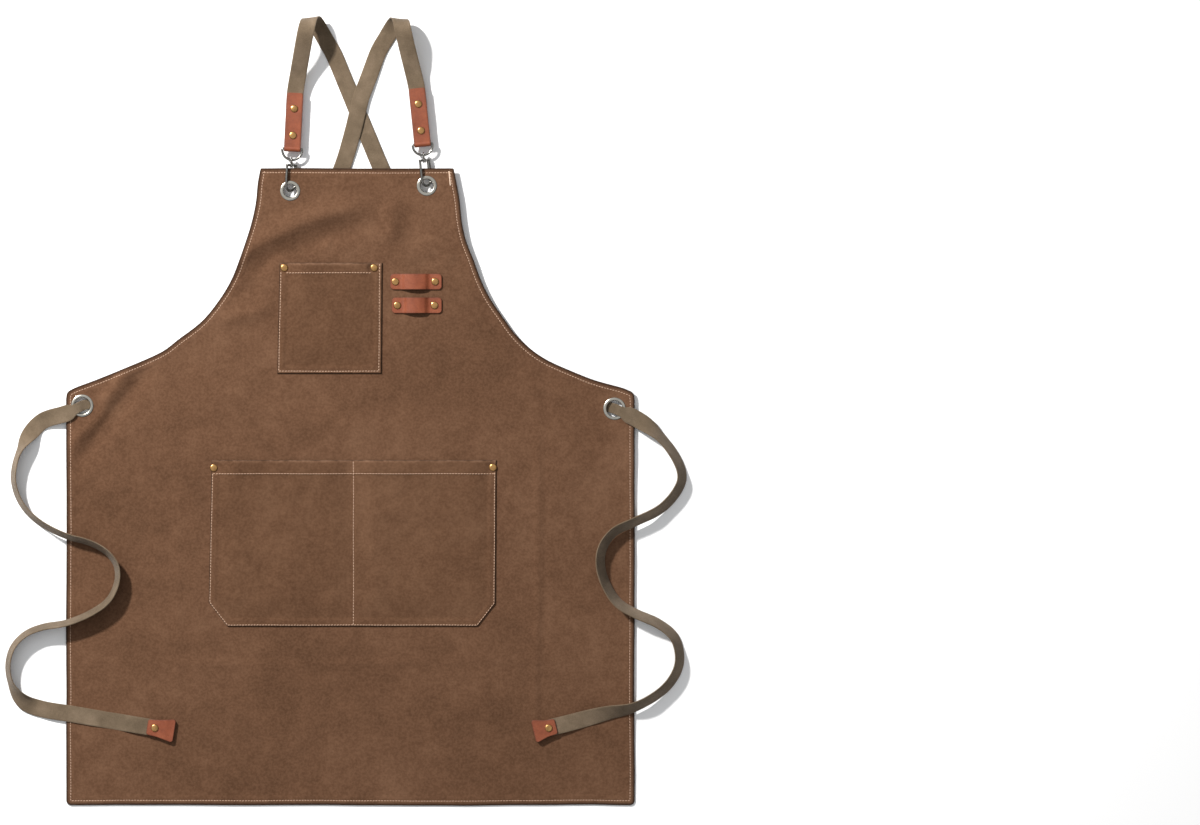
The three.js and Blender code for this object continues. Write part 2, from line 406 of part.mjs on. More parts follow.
// ---------------------------------------------------------------- tabs, rings and snap hooks
for (const side of ['left', 'right']) {
  const { at } = barOf(side);
  const gear = new THREE.Group();
  gear.position.set(at[0], at[1], AXIS_Z);
  gear.rotation.z = SIDES[side].turn;
  apron.add(gear);

  // leather tab: one strip folded round the ring's bar, both leaves riveted through the webbing
  const ro = RING_WIRE + GAP + LEAF, ri = RING_WIRE + GAP, ho = WEB / 2 + GAP + LEAF, hi = WEB / 2 + GAP;
  const arc = (r, from, to, n) => Array.from({ length: n + 1 }, (_, i) => { const q = from + (to - from) * i / n; return [r * Math.cos(q), r * Math.sin(q)]; });
  const so = Math.asin(ho / ro), si = Math.asin(hi / ri);
  const hairpin = [[TAB_LENGTH, hi], [TAB_LENGTH, ho], ...arc(ro, so, 2 * Math.PI - so, 10), [TAB_LENGTH, -ho], [TAB_LENGTH, -hi], ...arc(ri, 2 * Math.PI - si, si, 8)];
  let tab = solid(profile(hairpin, -TAB_WIDTH / 2, TAB_WIDTH / 2));
  for (const y of TAB_RIVETS) tab = drill(tab, 0, y, RIVET_HOLE);
  add(`${side}_strap_tab`, geometryOf(tab), leather, gear);
  TAB_RIVETS.forEach((y, i) => rivet(`${side}_tab_rivet_${i + 1}`, 0, y, -ho, ho, brass, gear, false));

  // D-ring: straight bar closed by a bowed wire
  const bow = [];
  for (let i = 0; i <= 16; i++) {
    const q = Math.PI * i / 16;
    bow.push(V(-RING_HALF * Math.cos(q), -1.5 - (RING_DEPTH - 1.5) * Math.sin(q), 0));
  }
  bow.unshift(V(-RING_HALF, 0, 0));
  bow.push(V(RING_HALF, 0, 0));
  const bar = new THREE.CylinderGeometry(RING_WIRE, RING_WIRE, 2 * RING_HALF + 2 * RING_WIRE, 8).rotateZ(Math.PI / 2);
  add(`${side}_d_ring`, geometryOf(solid(wire(bow, RING_WIRE, 8, V(0, 0, 1))).add(solid(bar))), nickel, gear);

  // swivel eye: loop round the ring, shank through the yoke, headed over
  const eyeY = -RING_DEPTH + RING_WIRE + GAP - (EYE_RADIUS - EYE_WIRE);
  const loopG = new THREE.TorusGeometry(EYE_RADIUS, EYE_WIRE, 8, 20).rotateY(Math.PI / 2).translate(0, eyeY, 0);
  const eye = solid(loopG).add(solid(rod(1.2, eyeY - EYE_RADIUS, YOKE[1] - 0.9, 0, 0))).add(solid(rod(2.2, YOKE[1] - 0.3, YOKE[1] - 1.4, 0, 0)));
  add(`${side}_swivel_eye`, geometryOf(eye), nickel, gear);

  // snap hook in its own plane: x across, y along, turned about its swivel axis
  const hook = new THREE.Group();
  hook.rotation.y = (90 - HOOK_TILT) * Math.PI / 180;
  gear.add(hook);
  const H = HOOK_HALF, cy = HOOK_END + H, path = [V(-H, YOKE[1] + 1, 0), V(-H, -32, 0)];
  for (let i = 0; i <= 10; i++) path.push(V(-H * Math.cos(Math.PI * i / 10), cy - H * Math.sin(Math.PI * i / 10), 0));
  path.push(V(H, NOSE, 0));
  let frame = solid(wire(path, HOOK_WIRE, 8, V(0, 0, 1)))
    .add(solid(new THREE.BoxGeometry(2 * H + 2 * TUBE_R, YOKE[0] - YOKE[1], 4.6).translate((TUBE_R - HOOK_WIRE) / 2, (YOKE[0] + YOKE[1]) / 2, 0)))
    .add(solid(rod(TUBE_R, YOKE[1] + 1, TUBE_END, H, 0, 14)));
  frame = frame.subtract(solid(rod(TUBE_BORE, YOKE[1], TUBE_END - 1, H, 0, 12)))
    .subtract(solid(rod(1.5, YOKE[0] + 1, YOKE[1] - 1, 0, 0)))
    .subtract(solid(new THREE.BoxGeometry(1.9, 9.4, 4).translate(H, -28, 2)));
  add(`${side}_snap_hook`, geometryOf(frame), nickel, hook);

  // spring bolt with its thumb stud, and the spring behind it
  const bolt = solid(rod(BOLT_R, NOSE + GAP, -28.5, H, 0)).add(solid(new THREE.CylinderGeometry(0.6, 0.6, 3.1, 8).rotateX(Math.PI / 2).translate(H, -31.6, 1.55)));
  add(`${side}_snap_bolt`, geometryOf(bolt), steel, hook);
  const coil = [];
  for (let i = 0; i <= SPRING_TURNS * 8; i++) {
    const q = 2 * Math.PI * i / 8;
    coil.push(V(H + SPRING_R * Math.cos(q), -21.7 - 6.3 * i / (SPRING_TURNS * 8), SPRING_R * Math.sin(q)));
  }
  add(`${side}_bolt_spring`, wire(coil, SPRING_WIRE, 4, V(0, 1, 0)), steel, hook);
}

export default apron;
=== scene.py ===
import math

import bpy
import numpy as np
from mathutils import Matrix, Vector


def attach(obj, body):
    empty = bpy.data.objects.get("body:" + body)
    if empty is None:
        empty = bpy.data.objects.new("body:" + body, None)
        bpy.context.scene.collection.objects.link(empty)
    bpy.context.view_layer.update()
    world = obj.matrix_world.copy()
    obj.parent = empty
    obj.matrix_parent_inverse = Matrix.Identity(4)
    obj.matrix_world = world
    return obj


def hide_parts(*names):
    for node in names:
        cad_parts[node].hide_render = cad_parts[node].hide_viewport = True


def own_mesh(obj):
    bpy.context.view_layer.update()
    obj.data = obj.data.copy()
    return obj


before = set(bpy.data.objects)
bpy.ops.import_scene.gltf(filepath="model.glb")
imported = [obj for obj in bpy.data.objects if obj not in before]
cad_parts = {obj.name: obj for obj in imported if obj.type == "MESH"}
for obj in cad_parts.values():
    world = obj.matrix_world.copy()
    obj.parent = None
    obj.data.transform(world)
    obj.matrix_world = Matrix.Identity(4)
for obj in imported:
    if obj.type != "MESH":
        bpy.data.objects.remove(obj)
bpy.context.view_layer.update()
MM = 0.001

# ------------------------------------------------------------------ camera
# straight down on the apron laid out flat; the picture is 1440 mm wide, apron in its left half
scene = bpy.context.scene
cam = bpy.data.objects.new("camera", bpy.data.cameras.new("camera"))
cam.data.lens = 200
cam.data.sensor_width = 36
cam.data.clip_end = 50
cam.location = (0.2994, -0.0018, 8.0)
cam.rotation_euler = (0, 0, 0)
scene.collection.objects.link(cam)
scene.camera = cam

# ------------------------------------------------------------------ design sizes, mm (as the CAD)
LIE_Y = [-480, 85.2, 217.2, 320]
LIE_Z = [-0.0627, 5.0, 8.6, 8.6]
CLOTH = 1.2
GAP = 0.3
BOTTOM_Y, TOP_Y = -473.0, 291.0
LEFT_EDGE = [(-107.4, 290.4), (-111, 272.4), (-112.2, 253.2), (-117, 229.2), (-124.2, 205.2),
  (-132.6, 181.2), (-142.2, 157.2), (-156.6, 133.2), (-175.8, 109.2), (-190.2, 97.2), (-207, 85.2),
  (-221.4, 73.2), (-246.6, 61.2), (-275.4, 49.2), (-305.4, 37.2), (-333, 26.5), (-339.5, 22), (-341, 14)]
RIGHT_EDGE = [(124.2, 290.4), (127.8, 272.4), (131.4, 253.2), (133.8, 229.2), (138.6, 205.2),
  (148.2, 181.2), (156.6, 157.2), (168.6, 133.2), (185.4, 109.2), (193.8, 97.2), (204.6, 85.2),
  (217.8, 73.2), (235.8, 61.2), (262.2, 49.2), (292.2, 37.2), (331, 26), (339.5, 21), (341, 13)]
BIB = {"left": (-72, 264), "right": (91.8, 270)}
WAIST = {"left": (-321.5, 6.4), "right": (316.8, 2.8)}
CHEST_RIVETS = [(-79.1, 171.6), (28.7, 171.6)]
HAND_RIVETS = [(-163.8, -68.2), (171, -67.7)]
HAND_SEAM_X = 3.8
LOOPS = {"upper_tool_loop": (48, 109.8, 155, (54.1, 101.8)), "lower_tool_loop": (49.8, 109.8, 126.6, (56.4, 101))}
AXIS_Z = 9.2
HOOK_END = -50.4
SIDES = {"left": (-0.05102, BIB["left"]), "right": (0.10268, BIB["right"])}

# webbing routes: centre (mm), direction across the webbing, width scale
ROUTES = {
    "left_strap": [
        (-69.12, 320.33, 9.2, 0.999, -0.051, 0.000, 1.000),
        (-67.64, 349.29, 9.2, 0.999, -0.051, 0.000, 1.000),
        (-66.29, 378.25, 9.02, 0.997, -0.078, 0.000, 1.000),
        (-64.67, 390.07, 10.21, 0.983, -0.182, 0.000, 1.000),
        (-62.54, 401.43, 13.32, 0.985, -0.171, -0.039, 1.000),
        (-60.45, 412.11, 18.38, 0.983, -0.134, -0.121, 1.000),
        (-59.31, 417.85, 21.2, 0.983, -0.134, -0.129, 1.000),
        (-58.16, 423.64, 23.94, 0.982, -0.131, -0.133, 1.000),
        (-57.02, 429.4, 26.73, 0.982, -0.135, -0.130, 1.000),
        (-55.85, 435.25, 29.29, 0.982, -0.150, -0.115, 1.000),
        (-54.66, 441.28, 31.41, 0.982, -0.158, -0.100, 1.000),
        (-53.46, 447.43, 33.13, 0.981, -0.181, -0.065, 1.000),
        (-52.18, 453.77, 33.5, 0.980, -0.197, 0.033, 1.000),
        (-50.88, 459.94, 32, 0.978, -0.168, 0.124, 1.000),
        (-49.59, 465.35, 28.72, 0.977, -0.081, 0.195, 1.000),
        (-48.2, 469.3, 23.79, 0.963, 0.009, 0.270, 1.000),
        (-46.47, 470.71, 17.74, 0.944, 0.142, 0.297, 1.000),
        (-44.4, 469.54, 11.73, 0.926, 0.255, 0.278, 1.000),
        (-41.93, 466.21, 6.77, 0.912, 0.351, 0.214, 1.000),
        (-39.1, 461.49, 3.38, 0.887, 0.440, 0.136, 1.000),
        (-36.05, 456.04, 1.61, 0.875, 0.478, 0.078, 1.000),
        (-32.86, 450.42, 0.98, 0.870, 0.493, 0.012, 1.000),
        (-29.65, 444.77, 0.82, 0.866, 0.500, 0.011, 1.000),
        (-26.34, 439.18, 0.74, 0.860, 0.511, 0.001, 1.000),
        (-23.09, 433.55, 0.75, 0.876, 0.482, -0.001, 1.000),
        (-20.11, 427.77, 0.75, 0.901, 0.433, 0.001, 1.000),
        (-17.42, 421.86, 0.74, 0.916, 0.400, 0.000, 1.000),
        (-10.55, 405.22, 0.74, 0.928, 0.372, -0.000, 1.000),
        (-3.74, 388.56, 0.75, 0.924, 0.382, 0.000, 1.000),
        (3.11, 371.91, 0.75, 0.925, 0.380, 0.000, 1.000),
        (9.97, 355.27, 0.75, 0.924, 0.383, 0.000, 1.000),
        (16.86, 338.64, 0.75, 0.923, 0.384, 0.000, 1.000),
        (23.79, 322.03, 0.75, 0.923, 0.384, 0.000, 1.000),
        (30.68, 305.4, 0.75, 0.923, 0.386, 0.000, 1.000),
        (37.79, 288.86, 0.75, 0.915, 0.403, 0.000, 1.000),
        (45.1, 272.41, 0.75, 0.911, 0.412, 0.000, 1.000),
        (52.65, 256.08, 0.75, 0.904, 0.428, 0.000, 1.000),
        (63.16, 234.5, 0.75, 0.898, 0.441, 0.000, 1.000),
        (73.83, 213, 0.75, 0.893, 0.451, 0.000, 1.000),
        (84.88, 191.7, 0.75, 0.882, 0.472, 0.000, 1.000),
        (96.58, 170.75, 0.75, 0.863, 0.505, 0.000, 1.000),
        (108.88, 150.14, 0.75, 0.859, 0.512, 0.000, 1.000),
        (121.3, 129.6, 0.75, 0.850, 0.527, 0.000, 1.000),
        (134.39, 109.49, 0.75, 0.823, 0.568, 0.000, 1.000),
        (148.81, 90.31, 0.75, 0.770, 0.639, 0.000, 1.000),
        (165.34, 72.94, 0.75, 0.672, 0.741, 0.000, 1.000),
        (184, 57.87, 0.75, 0.589, 0.808, 0.000, 1.000),
        (203.94, 44.52, 0.75, 0.526, 0.851, 0.000, 1.000),
        (224.78, 32.63, 0.75, 0.463, 0.887, 0.000, 1.000),
        (246.98, 23.7, 0.74, 0.244, 0.970, 0.000, 1.000),
        (260.53, 20.19, 0.75, 0.295, 0.955, 0.000, 1.000),
        (273.91, 16.05, 0.76, 0.295, 0.955, 0.000, 1.000),
        (287.28, 11.92, 0.92, 0.295, 0.955, 0.000, 1.000),
        (293.01, 10.15, 1.11, 0.295, 0.955, 0.000, 1.000),
        (298.74, 8.38, 1.33, 0.295, 0.955, -0.000, 0.994),
        (304.47, 6.61, 1.36, 0.295, 0.955, 0.000, 0.683),
        (310.14, 4.86, 2.09, 0.295, 0.955, 0.000, 0.620),
        (316.66, 2.84, 4.76, 0.295, 0.955, 0.000, 0.620),
    ],
    "right_strap": [
        (86.02, 326.1, 9.2, -0.995, -0.102, 0.000, 1.000),
        (83.05, 354.95, 9.2, -0.995, -0.102, 0.000, 1.000),
        (80.19, 383.81, 9.08, -0.992, -0.128, 0.000, 1.000),
        (78, 395.58, 9.76, -0.974, -0.227, 0.000, 1.000),
        (75.3, 407.01, 12.1, -0.975, -0.221, -0.036, 1.000),
        (72.64, 417.87, 16.44, -0.975, -0.193, -0.111, 1.000),
        (71.21, 423.78, 18.73, -0.975, -0.190, -0.116, 1.000),
        (69.8, 429.71, 21.01, -0.975, -0.188, -0.115, 1.000),
        (68.39, 435.67, 23.16, -0.975, -0.195, -0.103, 1.000),
        (66.98, 441.74, 25.01, -0.976, -0.197, -0.093, 1.000),
        (65.58, 447.89, 26.59, -0.976, -0.209, -0.061, 1.000),
        (64.18, 454.2, 26.9, -0.978, -0.205, 0.028, 1.000),
        (62.84, 460.39, 25.5, -0.976, -0.182, 0.116, 1.000),
        (61.5, 465.72, 22.11, -0.975, -0.099, 0.201, 1.000),
        (59.72, 469.08, 16.93, -0.940, 0.012, 0.342, 1.000),
        (57.4, 469.02, 10.96, -0.921, 0.214, 0.324, 1.000),
        (54.62, 466.06, 5.94, -0.886, 0.377, 0.269, 1.000),
        (51.42, 461.44, 2.77, -0.850, 0.506, 0.148, 1.000),
        (48, 456.07, 1.48, -0.854, 0.516, 0.069, 1.000),
        (44.68, 450.51, 0.92, -0.864, 0.502, 0.015, 1.000),
        (41.4, 444.91, 0.76, -0.854, 0.520, 0.009, 1.000),
        (37.97, 439.39, 0.72, -0.855, 0.519, -0.002, 1.000),
        (34.8, 433.71, 0.78, -0.893, 0.449, -0.005, 1.000),
        (32.13, 427.79, 0.89, -0.924, 0.382, -0.006, 1.000),
        (29.74, 421.75, 1.04, -0.935, 0.354, -0.007, 1.000),
        (27.5, 415.65, 1.22, -0.940, 0.340, -0.007, 1.000),
        (25.31, 409.53, 1.42, -0.942, 0.335, -0.007, 1.000),
        (19.07, 392.66, 2.05, -0.926, 0.378, -0.013, 1.000),
        (12.79, 375.82, 2.75, -0.963, 0.269, -0.001, 1.000),
        (8.58, 358.33, 2.7, -0.972, 0.236, 0.000, 1.000),
        (4.37, 340.83, 2.76, -0.971, 0.241, 0.000, 1.000),
        (-0.26, 323.44, 2.15, -0.963, 0.270, -0.000, 1.000),
        (-5.26, 306.17, 1.36, -0.961, 0.276, 0.000, 1.000),
        (-11.2, 289.2, 0.82, -0.920, 0.391, 0.000, 1.000),
        (-18.78, 272.88, 0.72, -0.895, 0.446, 0.000, 1.000),
        (-27.16, 256.95, 0.74, -0.875, 0.484, -0.000, 1.000),
        (-36.17, 241.37, 0.75, -0.856, 0.517, 0.000, 1.000),
        (-48.99, 221.09, 0.74, -0.836, 0.548, 0.000, 1.000),
        (-62.39, 201.18, 0.74, -0.824, 0.567, -0.000, 1.000),
        (-76.15, 181.51, 0.75, -0.815, 0.579, 0.000, 1.000),
        (-90.15, 162.01, 0.75, -0.814, 0.581, 0.000, 1.000),
        (-103.86, 142.32, 0.75, -0.824, 0.567, 0.000, 1.000),
        (-117.6, 122.64, 0.75, -0.812, 0.583, 0.000, 1.000),
        (-132.08, 103.5, 0.75, -0.777, 0.629, 0.000, 1.000),
        (-148.06, 85.62, 0.75, -0.705, 0.709, 0.000, 1.000),
        (-166.24, 69.97, 0.75, -0.603, 0.798, 0.000, 1.000),
        (-186.03, 56.41, 0.75, -0.531, 0.848, 0.000, 1.000),
        (-206.79, 44.37, 0.75, -0.474, 0.881, 0.000, 1.000),
        (-228.27, 33.68, 0.75, -0.416, 0.909, 0.000, 1.000),
        (-250.94, 25.97, 0.74, -0.222, 0.975, 0.000, 1.000),
        (-264.54, 22.69, 0.75, -0.275, 0.961, 0.000, 1.000),
        (-278.01, 18.84, 0.75, -0.275, 0.961, -0.000, 1.000),
        (-291.46, 14.99, 0.91, -0.275, 0.961, 0.000, 1.000),
        (-297.23, 13.34, 1.11, -0.275, 0.961, -0.000, 1.000),
        (-302.99, 11.69, 1.35, -0.275, 0.961, 0.000, 0.999),
        (-308.76, 10.04, 1.4, -0.275, 0.961, 0.000, 0.701),
        (-314.48, 8.41, 2.03, -0.275, 0.961, 0.000, 0.620),
        (-321.36, 6.44, 4.79, -0.275, 0.961, 0.000, 0.620),
    ],
    "left_tie": [
        (-321.67, 6.35, 4.91, 0.275, -0.961, 0.000, 0.620),
        (-326.21, 3.96, 7.51, 0.465, -0.885, 0.002, 0.620),
        (-330.62, 1.62, 8.14, 0.458, -0.889, 0.000, 0.622),
        (-335.09, -0.62, 8.14, 0.425, -0.905, -0.000, 0.899),
        (-339.67, -2.63, 7.96, 0.360, -0.933, -0.001, 1.000),
        (-344.41, -4.21, 7.54, 0.284, -0.959, 0.001, 1.000),
        (-349.25, -5.47, 7.03, 0.241, -0.970, 0.001, 1.000),
        (-354.11, -6.63, 6.08, 0.242, -0.970, 0.001, 1.000),
        (-358.95, -7.89, 4.66, 0.331, -0.944, 0.016, 1.000),
        (-368.67, -11.8, 2, 0.506, -0.863, -0.002, 1.000),
        (-376.83, -18.36, 0.76, 0.699, -0.715, 0.005, 1.000),
        (-383.58, -26.38, 3.21, 0.814, -0.531, 0.236, 1.000),
        (-389.55, -35.02, 7.09, 0.745, -0.256, 0.615, 1.000),
        (-394.72, -44.16, 9.3, 0.443, -0.100, 0.891, 1.000),
        (-398.92, -53.77, 9.64, 0.327, -0.102, 0.940, 1.000),
        (-401.85, -63.85, 9.64, 0.334, -0.074, 0.940, 1.000),
        (-403.47, -74.21, 9.64, 0.341, -0.025, 0.940, 1.000),
        (-403.36, -84.7, 9.64, 0.340, 0.037, 0.940, 1.000),
        (-401.19, -94.96, 9.64, 0.328, 0.097, 0.940, 1.000),
        (-397.43, -104.75, 9.64, 0.309, 0.146, 0.940, 1.000),
        (-392.28, -113.89, 9.64, 0.283, 0.193, 0.940, 1.000),
        (-385.66, -122.02, 9.64, 0.249, 0.235, 0.940, 1.000),
        (-377.92, -129.11, 9.64, 0.187, 0.290, 0.939, 1.000),
        (-369.48, -135.34, 10.52, 0.085, 0.357, 0.930, 1.000),
        (-360.41, -140.63, 12.45, 0.030, 0.376, 0.926, 1.000),
        (-350.97, -145.23, 13.95, 0.078, 0.341, 0.937, 1.000),
        (-341.31, -149.33, 14.04, 0.117, 0.321, 0.940, 1.000),
        (-331.33, -152.56, 14.01, 0.093, 0.329, 0.940, 1.000),
        (-321.1, -154.93, 13.99, 0.095, 0.328, 0.940, 1.000),
        (-311.16, -158.27, 13.96, 0.128, 0.317, 0.940, 1.000),
        (-301.61, -162.62, 13.92, 0.170, 0.297, 0.940, 1.000),
        (-292.89, -168.43, 13.86, 0.222, 0.261, 0.940, 1.000),
        (-285.51, -175.88, 13.8, 0.275, 0.204, 0.940, 1.000),
        (-280.17, -184.87, 13.72, 0.324, 0.111, 0.940, 1.000),
        (-278.42, -195.17, 13.62, 0.342, 0.003, 0.940, 1.000),
        (-279.48, -205.6, 13.53, 0.332, -0.081, 0.940, 1.000),
        (-282.85, -215.52, 13.44, 0.308, -0.148, 0.940, 1.000),
        (-288.09, -224.6, 13.36, 0.270, -0.210, 0.940, 1.000),
        (-295.3, -232.19, 13.29, 0.218, -0.263, 0.940, 1.000),
        (-303.93, -238.16, 13.24, 0.178, -0.292, 0.940, 1.000),
        (-313.06, -243.35, 13.19, 0.154, -0.306, 0.940, 1.000),
        (-322.56, -247.81, 13.15, 0.131, -0.316, 0.940, 1.000),
        (-332.36, -251.58, 13.12, 0.109, -0.324, 0.940, 1.000),
        (-342.4, -254.63, 13.09, 0.067, -0.336, 0.940, 1.000),
        (-352.74, -256.4, 12.85, -0.025, -0.351, 0.936, 1.000),
        (-363.14, -257.87, 11.33, -0.063, -0.364, 0.929, 1.000),
        (-373.3, -260.48, 9.86, 0.030, -0.350, 0.936, 1.000),
        (-383.16, -264.08, 9.64, 0.140, -0.312, 0.940, 1.000),
        (-392.08, -269.57, 9.64, 0.208, -0.272, 0.940, 1.000),
        (-399.71, -276.76, 9.64, 0.261, -0.221, 0.940, 1.000),
        (-405.53, -285.46, 9.64, 0.307, -0.151, 0.940, 1.000),
        (-408.9, -295.38, 9.64, 0.333, -0.078, 0.940, 1.000),
        (-410.28, -305.77, 9.64, 0.342, -0.010, 0.940, 1.000),
        (-409.53, -316.23, 9.64, 0.338, 0.052, 0.940, 1.000),
        (-406.77, -326.34, 9.5, 0.377, 0.088, 0.922, 1.000),
        (-402.29, -335.82, 8.54, 0.566, 0.195, 0.801, 1.000),
        (-396.14, -344.31, 6.36, 0.697, 0.456, 0.554, 1.000),
        (-388.23, -351.17, 3.47, 0.566, 0.781, 0.264, 1.000),
        (-378.6, -355.27, 1.2, 0.328, 0.944, 0.045, 1.000),
        (-368.45, -357.94, 1.31, 0.222, 0.975, -0.001, 1.000),
        (-358.14, -359.94, 2.55, 0.164, 0.986, 0.001, 1.000),
        (-347.74, -361.39, 3.2, 0.145, 0.989, 0.000, 1.000),
        (-337.36, -362.97, 3.19, 0.159, 0.987, 0.000, 1.000),
        (-327.01, -364.72, 3.17, 0.167, 0.986, 0.000, 1.000),
        (-316.66, -366.48, 3.15, 0.168, 0.986, 0.000, 1.000),
        (-306.31, -368.24, 3.14, 0.166, 0.986, 0.000, 1.000),
        (-295.95, -369.98, 3.12, 0.165, 0.986, -0.000, 1.000),
        (-285.6, -371.7, 3.11, 0.164, 0.986, -0.000, 1.000),
        (-275.24, -373.42, 3.58, 0.163, 0.987, -0.000, 1.000),
        (-261.42, -375.69, 5.41, 0.162, 0.987, -0.000, 1.000),
        (-247.61, -377.95, 5.9, 0.160, 0.987, 0.000, 1.000),
        (-233.79, -380.18, 5.88, 0.160, 0.987, -0.000, 1.000),
        (-223.8, -381.8, 5.87, 0.160, 0.987, 0.000, 1.000),
    ],
    "right_tie": [
        (316.97, 2.75, 4.88, 0.295, 0.955, 0.000, 0.620),
        (321.61, 0.59, 7.48, 0.411, 0.912, 0.001, 0.620),
        (326.19, -1.44, 8.11, 0.405, 0.914, 0.000, 0.622),
        (330.76, -3.47, 8.11, 0.411, 0.912, -0.000, 0.899),
        (335.3, -5.55, 7.93, 0.429, 0.903, -0.000, 1.000),
        (339.79, -7.76, 7.51, 0.460, 0.888, -0.000, 1.000),
        (344.18, -10.15, 7.24, 0.498, 0.866, -0.039, 1.000),
        (348.46, -12.73, 7.71, 0.538, 0.832, -0.132, 1.000),
        (352.67, -15.43, 8.59, 0.578, 0.773, -0.262, 1.000),
        (361.18, -21.58, 9.63, 0.529, 0.622, -0.577, 1.000),
        (369.05, -28.52, 9.52, 0.406, 0.458, -0.791, 1.000),
        (376.24, -36.17, 8.91, 0.383, 0.368, -0.847, 1.000),
        (382.81, -44.35, 8.85, 0.426, 0.315, -0.848, 1.000),
        (388.65, -53.07, 8.85, 0.455, 0.271, -0.848, 1.000),
        (393.55, -62.36, 8.85, 0.485, 0.212, -0.848, 1.000),
        (397.04, -72.25, 8.85, 0.520, 0.099, -0.849, 1.000),
        (397.42, -82.64, 8.85, 0.523, -0.084, -0.848, 1.000),
        (393.8, -92.46, 8.85, 0.475, -0.235, -0.848, 1.000),
        (388.17, -101.31, 8.85, 0.426, -0.315, -0.848, 1.000),
        (381.35, -109.28, 8.85, 0.372, -0.377, -0.848, 1.000),
        (373.58, -116.34, 9.13, 0.263, -0.469, -0.843, 1.000),
        (364.76, -122.01, 10.77, 0.134, -0.538, -0.832, 1.000),
        (355.29, -126.54, 12.77, 0.126, -0.528, -0.840, 1.000),
        (345.68, -130.77, 13.42, 0.196, -0.493, -0.848, 1.000),
        (336.16, -135.19, 13.38, 0.216, -0.484, -0.848, 1.000),
        (326.46, -139.21, 13.34, 0.234, -0.475, -0.848, 1.000),
        (317.31, -144.32, 13.3, 0.321, -0.422, -0.848, 1.000),
        (309.82, -151.64, 13.23, 0.412, -0.333, -0.848, 1.000),
        (304.02, -160.37, 13.15, 0.478, -0.229, -0.848, 1.000),
        (300.58, -170.25, 13.06, 0.520, -0.103, -0.848, 1.000),
        (299.72, -180.7, 12.97, 0.530, 0.012, -0.848, 1.000),
        (300.76, -191.13, 12.88, 0.519, 0.108, -0.848, 1.000),
        (303.7, -201.2, 12.79, 0.496, 0.187, -0.848, 1.000),
        (307.91, -210.82, 12.7, 0.471, 0.242, -0.848, 1.000),
        (313.03, -219.97, 12.62, 0.440, 0.296, -0.848, 1.000),
        (319.37, -228.33, 12.54, 0.378, 0.371, -0.848, 1.000),
        (327.46, -234.97, 12.48, 0.292, 0.442, -0.848, 1.000),
        (336.68, -239.99, 12.44, 0.241, 0.472, -0.848, 1.000),
        (346.09, -244.64, 12.4, 0.193, 0.494, -0.848, 1.000),
        (355.81, -248.61, 11.77, 0.125, 0.524, -0.842, 1.000),
        (365.43, -252.81, 10.17, 0.146, 0.524, -0.839, 1.000),
        (374.41, -258.23, 8.99, 0.254, 0.469, -0.846, 1.000),
        (382.76, -264.58, 8.85, 0.365, 0.384, -0.848, 1.000),
        (389.34, -272.7, 8.85, 0.458, 0.266, -0.848, 1.000),
        (393.12, -282.47, 8.85, 0.511, 0.139, -0.848, 1.000),
        (394.8, -292.82, 8.85, 0.529, 0.029, -0.848, 1.000),
        (394.25, -303.27, 8.85, 0.521, -0.095, -0.848, 1.000),
        (391.09, -313.26, 8.85, 0.486, -0.212, -0.848, 1.000),
        (385.9, -322.37, 8.85, 0.438, -0.299, -0.848, 1.000),
        (379.3, -330.53, 8.85, 0.376, -0.374, -0.848, 1.000),
        (371.52, -337.56, 9.18, 0.288, -0.449, -0.846, 1.000),
        (362.91, -343.57, 10.19, 0.217, -0.492, -0.843, 1.000),
        (353.82, -348.81, 11.2, 0.211, -0.489, -0.846, 1.000),
        (344.36, -353.36, 11.22, 0.234, -0.513, -0.826, 1.000),
        (334.48, -356.9, 10.73, 0.218, -0.596, -0.773, 1.000),
        (324.22, -359.1, 9.98, 0.194, -0.696, -0.691, 1.000),
        (313.87, -360.87, 8.96, 0.217, -0.783, -0.583, 1.000),
        (303.62, -363.14, 7.73, 0.263, -0.850, -0.457, 1.000),
        (293.47, -365.8, 6.39, 0.282, -0.903, -0.323, 1.000),
        (283.33, -368.57, 5.16, 0.264, -0.944, -0.198, 1.000),
        (269.82, -372.21, 5.37, 0.251, -0.966, -0.064, 1.000),
        (256.24, -375.64, 5.93, 0.240, -0.971, -0.001, 1.000),
        (242.64, -378.94, 5.89, 0.235, -0.972, 0.000, 1.000),
        (227.5, -382.6, 5.86, 0.235, -0.972, -0.000, 1.000),
    ],
}


# ------------------------------------------------------------------ small maths
def lie(y):
    """Underside of the cloth above the surface it lies on, softened where its slope changes."""
    y = np.asarray(y, float)
    return sum(w * np.interp(y + o, LIE_Y, LIE_Z) for w, o in ((0.25, -9), (0.5, 0), (0.25, 9)))


def smooth(x):
    x = np.clip(x, 0, 1)
    return x * x * (3 - 2 * x)


def noise(x, y, scale, seed):
    """Gradient noise, about -1 to 1, with features of the given size in mm."""
    x = np.asarray(x, float) / scale + seed * 17.13
    y = np.asarray(y, float) / scale + seed * 5.71
    xi, yi = np.floor(x), np.floor(y)
    xf, yf = x - xi, y - yi

    def grad(ix, iy, dx, dy):
        h = np.sin(ix * 127.1 + iy * 311.7 + seed * 74.7) * 43758.5453
        a = (h - np.floor(h)) * 2 * np.pi
        return np.cos(a) * dx + np.sin(a) * dy

    u = xf * xf * xf * (xf * (xf * 6 - 15) + 10)
    v = yf * yf * yf * (yf * (yf * 6 - 15) + 10)
    a = grad(xi, yi, xf, yf) * (1 - u) + grad(xi + 1, yi, xf - 1, yf) * u
    b = grad(xi, yi + 1, xf, yf - 1) * (1 - u) + grad(xi + 1, yi + 1, xf - 1, yf - 1) * u
    return 1.5 * (a * (1 - v) + b * v)


